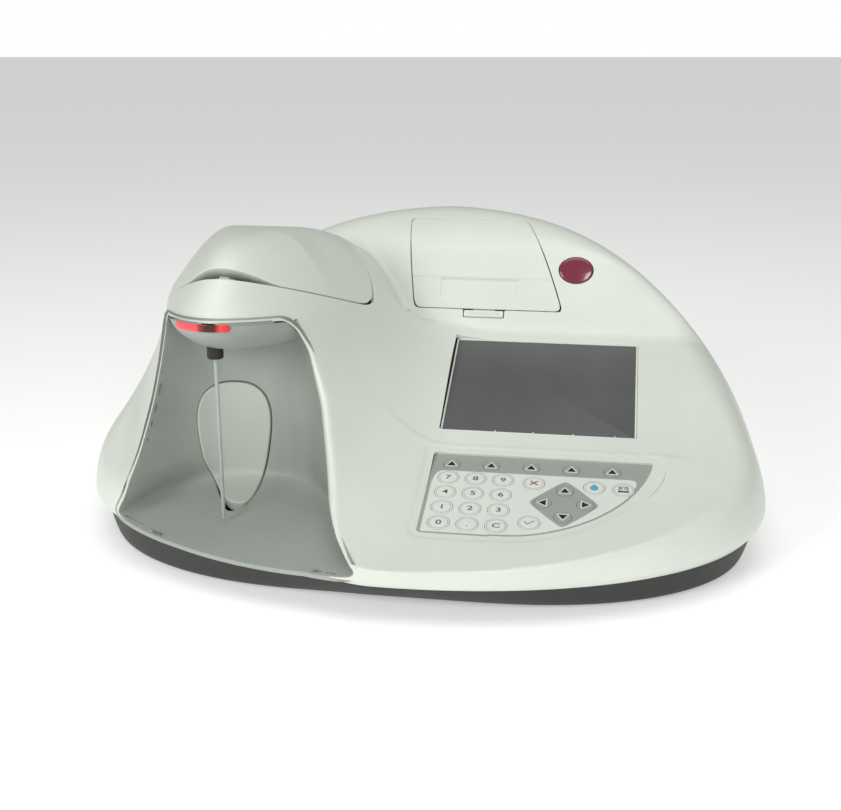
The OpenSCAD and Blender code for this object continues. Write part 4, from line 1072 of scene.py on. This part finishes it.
def build_light_bar():
    """Lit bar along the head's lower edge: a round-ended section carried along the outline."""
    xs = HEAD_X - 24.0 + 36.0 * (0.5 - 0.5 * np.cos(np.linspace(0.0, np.pi, 61)))
    u = (xs - HEAD_X) / HEAD_SPREAD
    slope = 2.0 * u / HEAD_SPREAD
    length = np.sqrt(1.0 + slope * slope)
    out = np.stack([slope / length, -1.0 / length], -1)
    end = np.minimum(xs - xs[0], xs[-1] - xs)
    swell = np.sqrt(np.clip(1.0 - (1.0 - np.clip(end / 2.15, 0.0, 1.0)) ** 2, 0.0, 1.0))
    a = np.linspace(0.0, 360.0, 25)[:-1]
    proud = 0.45 * np.sign(cosd(a)) * np.abs(cosd(a)) ** 0.7
    tall = 2.15 * np.sign(sind(a)) * np.abs(sind(a)) ** 0.7
    base = np.stack([xs, HEAD_FRONT + u * u], -1)
    middle = ceiling(base[:, 1]) - 2.4
    away = proud[None, :, None] * np.maximum(swell, 0.05)[:, None, None] - 0.1
    plan = base[:, None, :] + out[:, None, :] * away
    z = middle[:, None] + tall[None] * np.maximum(swell, 0.02)[:, None]
    points = np.concatenate([plan, z[..., None]], -1).reshape(-1, 3)
    faces = capped_rings(len(xs), len(a))
    make_piece("light_diffuser", points, faces, RED_LIGHT, "chassis", ["light_bar"])


# ---------- base ----------
def base_place(par):
    """Base tray by direction, share k up its side, and share q out along its floor."""
    a, q, k = par.T
    front = np.maximum(0.0, -sind(a)) ** 2
    inset = mix(mix(14.0, 42.0, front), FLANK_INSET, np.clip(k, 0.0, 1.0) ** 0.8)
    r = q * (rim_radius(a) - inset)
    x = r * cosd(a)
    top = seam_height(x) - 0.3
    return np.stack([x, RIM_Y + r * sind(a), 1.2 + (top - 1.2) * np.clip(k, 0.0, 1.0) ** 1.45], -1)


def base_normal(par):
    e = 0.002
    step_a, step_k = np.array([0.2, 0.0, 0.0]), np.array([0.0, 0.0, e])
    du = base_place(par + step_a) - base_place(par - step_a)
    k = par[:, 2:3]
    dv = base_place(par + step_k * (k < 1.0)) - base_place(par - step_k * (k > 0.0))
    side = unit(np.cross(du, dv))
    floor = np.array([0.0, 0.0, -1.0])
    return np.where(k <= 0.0, floor, unit(side + floor * (0.35 * (1.0 - ramp(k, 0.0, 0.25)))))


FEET = ((110.0, -85.0), (-110.0, -85.0), (110.0, 110.0), (-110.0, 110.0))
FOOT_PROFILE = [(0.01, 0.05), (6.4, 0.05), (7.6, 0.4), (8.0, 1.0), (8.0, 3.0), (0.01, 3.0)]


def clear_of_feet(p):
    away = np.min([np.hypot(p[:, 0] - x, p[:, 1] - y) for x, y in FEET], axis=0)
    return np.where(p[:, 2] < 1.5, away - 8.2, 50.0)


def build_base():
    """Base tray with its floor, cut away under the bay's floor, and its rubber feet."""
    angles = np.arange(112.0, 471.5, 1.2)
    rows = [np.stack([angles, np.full_like(angles, q), 0.0 * angles], -1) for q in np.linspace(0.1, 1.0, 12)]
    rows += [np.stack([angles, np.ones_like(angles), np.full_like(angles, k)], -1)
             for k in np.linspace(0.0, 1.0, 22)[1:]]
    n, m = len(rows), len(angles)
    i, j = round_of(m)
    faces = [np.stack([i, j, 0 * i + n * m], 1)]
    for k in range(n - 1):
        faces.append(np.stack([k * m + i, (k + 1) * m + j, (k + 1) * m + i], 1))
        faces.append(np.stack([k * m + i, k * m + j, (k + 1) * m + j], 1))
    faces[0] = faces[0][:, ::-1]
    par = np.concatenate(rows + [np.array([[angles[0], 0.0, 0.0]])])
    cuts = [(lambda p: p[:, 1] - bay_wall(p[:, 0], p[:, 2] + 3.3) - 0.2, 0.05, None),
            (clear_of_feet, 0.3, None)]
    make_moulding("base_shell", base_place, base_normal, (par, np.concatenate(faces)), cuts, THIN_WALL, DARK,
                  "chassis", ["base_tray"])
    parts = [lathe(FOOT_PROFILE, 48, (x, y, 0.0), (0, 0, 1), False) for x, y in FEET]
    make_joined("rubber_feet", parts, RUBBER, "chassis", ["feet"])


# ---------- screen ----------
def on_screen(x, v, w):
    return from_slope(x, v, w, SCREEN_AT, SCREEN_TILT)


TICKS_X, FRAME_W = (-26.0, -2.5, 22.0, 47.3), 1.15


def build_screen():
    """Display window in a thin pale surround with four small ticks below."""
    w, h = WINDOW_W / 2.0, WINDOW_H / 2.0
    points, faces = rounded_box((-w - 0.2, -h - 0.2, -2.6), (w + 0.2, h + 0.2, -1.25), 0.25, on_screen)
    make_piece("display_glass", points, faces, SCREEN, "chassis", ["display_window"])
    out_w, out_h = w + FRAME_W, h + FRAME_W
    bars = (((-out_w, -out_h), (out_w, -h)), ((-out_w, h), (out_w, out_h)), ((-out_w, -h), (-w, h)),
            ((w, -h), (out_w, h)))
    parts = [rounded_box(low_c + (-2.6,), high_c + (-0.75,), 0.3, on_screen) for low_c, high_c in bars]
    parts += [rounded_box((x - 0.35, -out_h, -1.6), (x + 0.35, -h + 1.1, -0.6), 0.25, on_screen)
              for x in TICKS_X]
    make_joined("display_surround", parts, FILM, "chassis")


# ---------- keypad ----------
SOFT_X, SOFT_PITCH, NUM_X, NUM_V, NUM_PITCH_X, NUM_PITCH_V = 23.7, 23.8, 23.4, -14.0, 16.2, 14.3
ARROW_MID, ARROW_STEP, KEY_D, SMALL_D = (92.3, -33.5), 12.2, 12.4, 10.0
DIAMOND = (19.0, 20.6)
FILM_W = -POCKET_DEPTH


def on_keypad(x, v, w):
    return from_slope(x, v, w, KEYPAD_AT, KEYPAD_TILT)


def key_list():
    """Every key: name, X, V, diameter, mark."""
    keys = [(f"soft_key_{i + 1}", SOFT_X + SOFT_PITCH * i, -0.4, SMALL_D, "up") for i in range(5)]
    names = (("7", "8", "9"), ("4", "5", "6"), ("1", "2", "3"), ("0", "dot", "clear"))
    for r, row in enumerate(names):
        for c, name in enumerate(row):
            mark = {"dot": ".", "clear": "C"}.get(name, name)
            keys.append((f"key_{name}", NUM_X + NUM_PITCH_X * c, NUM_V - NUM_PITCH_V * r, KEY_D, mark))
    keys += [("key_cancel", 74.0, -15.4, KEY_D, "cross"), ("key_confirm", 73.9, -52.5, KEY_D, "tick"),
             ("key_wash", 108.9, -16.6, KEY_D, "drop"), ("key_print", 125.6, -17.2, KEY_D, "book")]
    for name, dx, dv in (("up", 0.0, ARROW_STEP), ("down", 0.0, -ARROW_STEP), ("left", -ARROW_STEP, 0.0),
                         ("right", ARROW_STEP, 0.0)):
        keys.append(("arrow_" + name, ARROW_MID[0] + dx, ARROW_MID[1] + dv, SMALL_D, name))
    return keys


KEYS = key_list()


def clear_of_keys(x, v, gap):
    return np.min([np.hypot(x - k[1], v - k[2]) - k[3] / 2.0 - gap for k in KEYS], axis=0)


def white_area(x, v):
    """White print: the overlay less its grey band, a strip down the left and a rim along the arc."""
    edge = pad_field(x, v) - 0.35
    left = x - PAD_LEFT - 2.0
    below = -7.2 - v
    corner = soft_min(below, pad_field(x, v) - 1.2 - 2.2 * ramp(v, -26.0, -8.0), 6.0)
    return np.minimum(np.minimum(edge, left), corner)


def outside_diamond(x, v):
    dx, dv = np.sqrt((x - ARROW_MID[0]) ** 2 + 4.0), np.sqrt((v - ARROW_MID[1]) ** 2 + 4.0)
    return (dx / DIAMOND[0] + dv / DIAMOND[1] - 1.12) * 13.9


def flat_sheet(name, w, thick, tests, material, stands_for=()):
    """Thin plate on the keypad's slope, cut by the tests."""
    def place(q):
        return on_keypad(q[:, 0], q[:, 1], np.full(len(q), w))

    def normal(q):
        return np.tile([0.0, -sind(KEYPAD_TILT), cosd(KEYPAD_TILT)], (len(q), 1))
    sheet = grid(np.arange(PAD_LEFT - 1.0, PAD_RIGHT + 2.0, 1.1),
                 np.arange(PAD_BOTTOM - 1.0, PAD_TOP + 2.0, 1.1))
    cuts = [(on_slope(KEYPAD_AT, KEYPAD_TILT, np.inf, test), roll, None) for test, roll in tests]
    make_moulding(name, place, normal, sheet, cuts, thick, material, "chassis", stands_for)


def turn(shape, angle):
    c, s = cosd(angle), sind(angle)
    shape = np.asarray(shape, float)
    return np.stack([shape[:, 0] * c - shape[:, 1] * s, shape[:, 0] * s + shape[:, 1] * c], -1)


def rounded_polygon(corners, r, steps=5):
    """Convex outline with round corners, each a quadratic curve of reach r."""
    corners = np.asarray(corners, float)
    before, after = np.roll(corners, 1, axis=0), np.roll(corners, -1, axis=0)
    a = corners + unit(before - corners) * r
    b = corners + unit(after - corners) * r
    s = np.linspace(0.0, 1.0, steps)[None, :, None]
    return curve(a[:, None], corners[:, None], b[:, None], s).reshape(-1, 2)


FIGURE_HEIGHT = 0.72


def digit_shape(text, height):
    """Flat mesh of a figure, centred and made wider, from the built-in typeface."""
    data = bpy.data.curves.new("figure", "FONT")
    data.body, data.size, data.extrude = text, 1.0, 0.0
    data.resolution_u = 4
    data.offset = 0.012
    holder = bpy.data.objects.new("figure", data)
    bpy.context.scene.collection.objects.link(holder)
    bpy.context.view_layer.update()
    mesh = holder.to_mesh()
    co = np.array([v.co for v in mesh.vertices])[:, :2]
    faces = [list(p.vertices) for p in mesh.polygons]
    holder.to_mesh_clear()
    bpy.data.objects.remove(holder)
    bpy.data.curves.remove(data)
    low, high = co.min(0), co.max(0)
    co = (co - (low + high) / 2.0) * (height / FIGURE_HEIGHT)
    co[:, 0] *= 1.0 if text == "." else 1.3
    return co, faces


def key_mark(kind, top):
    """Printed marks of a key: a list of (points in the key's frame, faces, place in its materials)."""
    parts = []
    triangle = rounded_polygon([(-2.75, -2.0), (2.75, -2.0), (0.0, 2.5)], 0.35)
    edge = rounded_polygon([(-3.9, -2.7), (3.9, -2.7), (0.0, 3.75)], 0.6)
    turns = {"up": 0.0, "down": 180.0, "left": 90.0, "right": -90.0}

    def add(outline, mark, low=-0.05, high=0.05):
        parts.append(prism(outline, top + low, top + high, flat_frame) + (mark,))
    if kind in turns:
        add(turn(edge, turns[kind]), 3, high=0.03)
        add(turn(triangle, turns[kind]), 2)
    elif kind == "cross":
        bar = rounded_polygon([(-2.9, -0.42), (2.9, -0.42), (2.9, 0.42), (-2.9, 0.42)], 0.3)
        add(turn(bar, 40.0), 2, high=0.05)
        add(turn(bar, -40.0), 2, high=0.06)
    elif kind == "tick":
        add([(-3.1, 0.3), (-2.6, 0.9), (-0.9, -0.9), (2.6, 1.9), (3.1, 1.3), (-0.9, -2.0)], 2)
    elif kind == "drop":
        t = np.linspace(0.0, 360.0, 49)[:-1]
        upper = np.maximum(sind(t), 0.0)
        add(np.stack([2.5 * cosd(t) * (1.0 - 0.55 * upper ** 3),
                      -0.4 + 2.5 * sind(t) * (1.0 + 0.42 * upper ** 6)], -1), 2)
    elif kind == "book":
        add(rounded_polygon([(-3.3, -2.5), (3.3, -2.5), (3.0, -1.2), (-3.0, -1.2)], 0.3), 2)
        for x in (-1.35, 1.35):
            for v in (0.1, 1.0, 1.9):
                add(rounded_polygon([(x - 0.95, v - 0.16), (x + 0.95, v - 0.16), (x + 0.95, v + 0.16),
                                     (x - 0.95, v + 0.16)], 0.1), 2)
        add([(-2.9, -1.0), (-2.55, -1.0), (-2.3, 2.6), (2.3, 2.6), (2.55, -1.0), (2.9, -1.0), (2.6, 2.9),
             (-2.6, 2.9)], 2)
    else:
        co, faces = digit_shape(kind, 3.9)
        if kind == ".":
            co = co + [0.0, -1.7]
        parts.append((flat_frame(co[:, 0], co[:, 1], np.full(len(co), top + 0.05)), faces, 2))
    return parts


def flat_frame(x, v, w):
    return np.stack([x + 0.0 * w, v + 0.0 * w, w + 0.0 * x], -1)


KEY_INK = {"cross": INK_RED, "tick": LINE_INK_AND_GROOVE_SHADE, "drop": INK_BLUE, "book": INK_BLACK}
KEY_RISE, RING_SIDES = 0.16, 48


def build_keypad():
    """Printed film, and the keys under it, each with its own mark and its own travel."""
    flat_sheet("keypad_film", FILM_W, 0.8, [(pad_field, 0.2), (lambda x, v: clear_of_keys(x, v, 0.22), 0.12)],
               FILM_GREY, ["keypad_overlay"])
    flat_sheet("keypad_print", FILM_W + 0.04, 0.06,
               [(white_area, 0.01), (outside_diamond, 0.01), (lambda x, v: clear_of_keys(x, v, 0.3), 0.02)],
               FILM)
    top = FILM_W + 0.14
    a = np.linspace(0.0, 360.0, RING_SIDES + 1)
    i = np.arange(RING_SIDES)
    ring_quads = np.stack([i, RING_SIDES + 1 + i, RING_SIDES + 2 + i, i + 1], 1)
    for name, x, v, d, mark in KEYS:
        r = d / 2.0
        small = d < KEY_D
        outer = [(r, -2.0), (r, top - 0.1), (r - 0.1, top), (r - 0.85, top), (r - 0.98, top - 0.12),
                 (r - 1.12, top + 0.02)]
        crown = [(s * (r - 1.12), top + 0.02 + KEY_RISE * (1.0 - s * s)) for s in np.linspace(0.95, 0.0, 9)]
        profile = [(0.004, -2.0)] + outer + [(max(c[0], 0.004), c[1]) for c in crown]
        cap = lathe(profile, RING_SIDES, (0, 0, 0), (0, 0, 1), False)
        ring = [np.stack([radius * cosd(a), radius * sind(a), np.full(len(a), top + 0.012)], -1)
                for radius in (r - 1.0 - 0.17, r - 1.0 + 0.17)]
        points, faces, marks = joined([cap + (0,), (np.concatenate(ring), ring_quads, 1)]
                                      + key_mark(mark, top + KEY_RISE))
        placed = on_keypad(points[:, 0] + x, points[:, 1] + v, points[:, 2])
        ink = KEY_INK.get(mark, INK_BLACK if small else INK_GREY)
        finishes = [FILM_GREY if small else FILM, LINE_INK_AND_GROOVE_SHADE, ink, FILM]
        make_piece(name + "_cap_film", placed, faces, finishes, name + "_cap", [name],
                   marks=marks)


# ---------- badge, needle, painted shade of the groove ---
NEEDLE_AT = (-109.5, -110.0, 0.0)
HUB_PROFILE = [(1.25, 129.0), (4.2, 129.0), (4.6, 129.25), (4.75, 129.7), (4.75, 136.0), (4.55, 136.2),
               (4.55, 136.6), (4.75, 136.8), (4.75, 152.5), (7.2, 153.0), (7.2, 155.8), (1.25, 156.0)]
TUBE_PROFILE = [(0.6, 30.4), (0.95, 30.0), (1.2, 31.2), (1.2, 158.6), (0.6, 159.0)]
GROOVE_START, GROOVE_BEND, GROOVE_END = np.array([[150.0, 2.0], [148.5, -12.5], [139.5, -24.0]])


def build_small_pieces():
    """Plain domed badge, needle with its black hub, and a grey strip of painted shade for the fine groove
    beside the keypad.
    """
    turn_up = np.linspace(0.0, 1.0, 9) * np.pi / 2
    profile = [(0.001, -1.1), (1.0, -1.1), (1.0, 0.0)]
    profile += [(max(np.cos(t) * 0.97, 0.001), 0.25 + 0.75 * np.sin(t)) for t in turn_up]
    points, faces = lathe(profile, 72, (0, 0, 0), (0, 0, 1), False)
    placed = from_slope(points[:, 0] * BADGE_W / 2.0, points[:, 1] * BADGE_H / 2.0, points[:, 2], BADGE_AT,
                        BADGE_TILT)
    make_piece("plain_badge", placed, faces, BADGE, "chassis", ["badge"])

    points, faces = lathe(HUB_PROFILE, 56, NEEDLE_AT, (0, 0, 1))
    make_piece("needle_holder", points, faces, BLACK, "chassis", ["needle_hub"])
    points, faces = lathe(TUBE_PROFILE, 32, NEEDLE_AT, (0, 0, 1))
    make_piece("needle_tube", points, faces, NEEDLE, "chassis", ["needle"])

    # Grey strip lying on the housing: painted shade standing for the dark line of a fine groove beside the
    # keypad
    s = np.linspace(0.0, 1.0, 40)[:, None]
    line = curve(GROOVE_START, GROOVE_BEND, GROOVE_END, s)
    side = unit(np.gradient(line, axis=0)) @ np.array([[0.0, 1.0], [-1.0, 0.0]])
    width = 0.28 * np.sqrt(np.clip(1.0 - (2.0 * s - 1.0) ** 4, 0.02, 1.0))
    rows = []
    for share, proud in ((-1.0, -0.15), (-0.5, 0.03), (0.5, 0.03), (1.0, -0.15)):
        q = line + side * width * share
        x, y = q[:, 0], KEYPAD_AT[1] + q[:, 1] * cosd(KEYPAD_TILT)
        rows.append(np.stack([x, y, skin_z(x, y) + proud], -1))
    make_piece("side_groove_painted_shade", np.concatenate(rows), grid_faces(4, 40), LINE_INK_AND_GROOVE_SHADE, "chassis")


INNER_FINISH = {
    "head_cover_pin": STEEL, "printer_cover_pin": STEEL, "head_deck": FRAME_GREY, "flow_cell": GLASS,
    "lamp_module": MODULE, "detector_module": BOARD, "pump_body": FRAME_GREY, "pump_rotor": ROTOR,
    "button_spring": STEEL, "button_switch": MODULE, "lcd_module": MODULE, "keypad_board": BOARD,
    "main_board": BOARD, "printer_frame": FRAME_GREY, "platen_roller": RUBBER, "paper_roll": PAPER,
    "power_inlet": BLACK, "power_switch": MODULE, "waste_outlet": BLACK, "case_screws": STEEL}


def finish_inner_nodes():
    """Finishes of the CAD nodes that stay."""
    for name, material in INNER_FINISH.items():
        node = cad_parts[name]
        if not node.material_slots:
            node.data.materials.append(material)
        for slot in node.material_slots:
            slot.material = material


WORLD_LIGHT, FLOOR_HALF = 0.30, 25.0


def build_stage():
    """Pale floor, soft boxes, and a dim even surrounding that the camera sees as white."""
    mesh = bpy.data.meshes.new("floor")
    corners = [(x * FLOOR_HALF, y * FLOOR_HALF, 0) for x, y in ((-1, -1), (1, -1), (1, 1), (-1, 1))]
    mesh.from_pydata(corners, [], [(0, 1, 2, 3)])
    mesh.materials.append(moulded("floor_pale", (250, 251, 250), (248, 249, 248), rough=0.8, grain=300.0,
                                  depth=0.02, Emission_Color=(1.0, 1.0, 1.0, 1.0), Emission_Strength=0.35))
    floor = bpy.data.objects.new("floor", mesh)
    bpy.context.scene.collection.objects.link(floor)
    world = bpy.data.worlds.new("studio")
    world.use_nodes = True
    nodes, link = world.node_tree.nodes, world.node_tree.links.new
    even = set_inputs(nodes["Background"], Color=(0.98, 1.0, 0.97, 1.0), Strength=WORLD_LIGHT)
    seen = set_inputs(nodes.new("ShaderNodeBackground"), Color=(1.0, 1.0, 1.0, 1.0))
    either = nodes.new("ShaderNodeMixShader")
    link(nodes.new("ShaderNodeLightPath").outputs["Is Camera Ray"], either.inputs[0])
    link(even.outputs[0], either.inputs[1])
    link(seen.outputs[0], either.inputs[2])
    link(either.outputs[0], nodes["World Output"].inputs["Surface"])
    bpy.context.scene.world = world
    bpy.context.scene.view_settings.view_transform = "Standard"
    add_light("overhead_box", (0.1, -0.35, 1.5), (0.05, 0.0, 0.1), (1.3, 1.0), 7.0)
    add_light("front_left_box", (-0.62, -1.15, 0.62), (-0.05, -0.05, 0.12), (0.30, 0.45), 5.5)
    add_light("front_right_box", (0.45, -1.35, 0.8), (0.05, -0.05, 0.12), (0.35, 0.5), 4.5)


add_camera()
build_housing()
build_head_cover()
build_printer_cover()
build_bay()
build_light_bar()
build_base()
build_screen()
build_keypad()
build_small_pieces()
finish_inner_nodes()
build_stage()
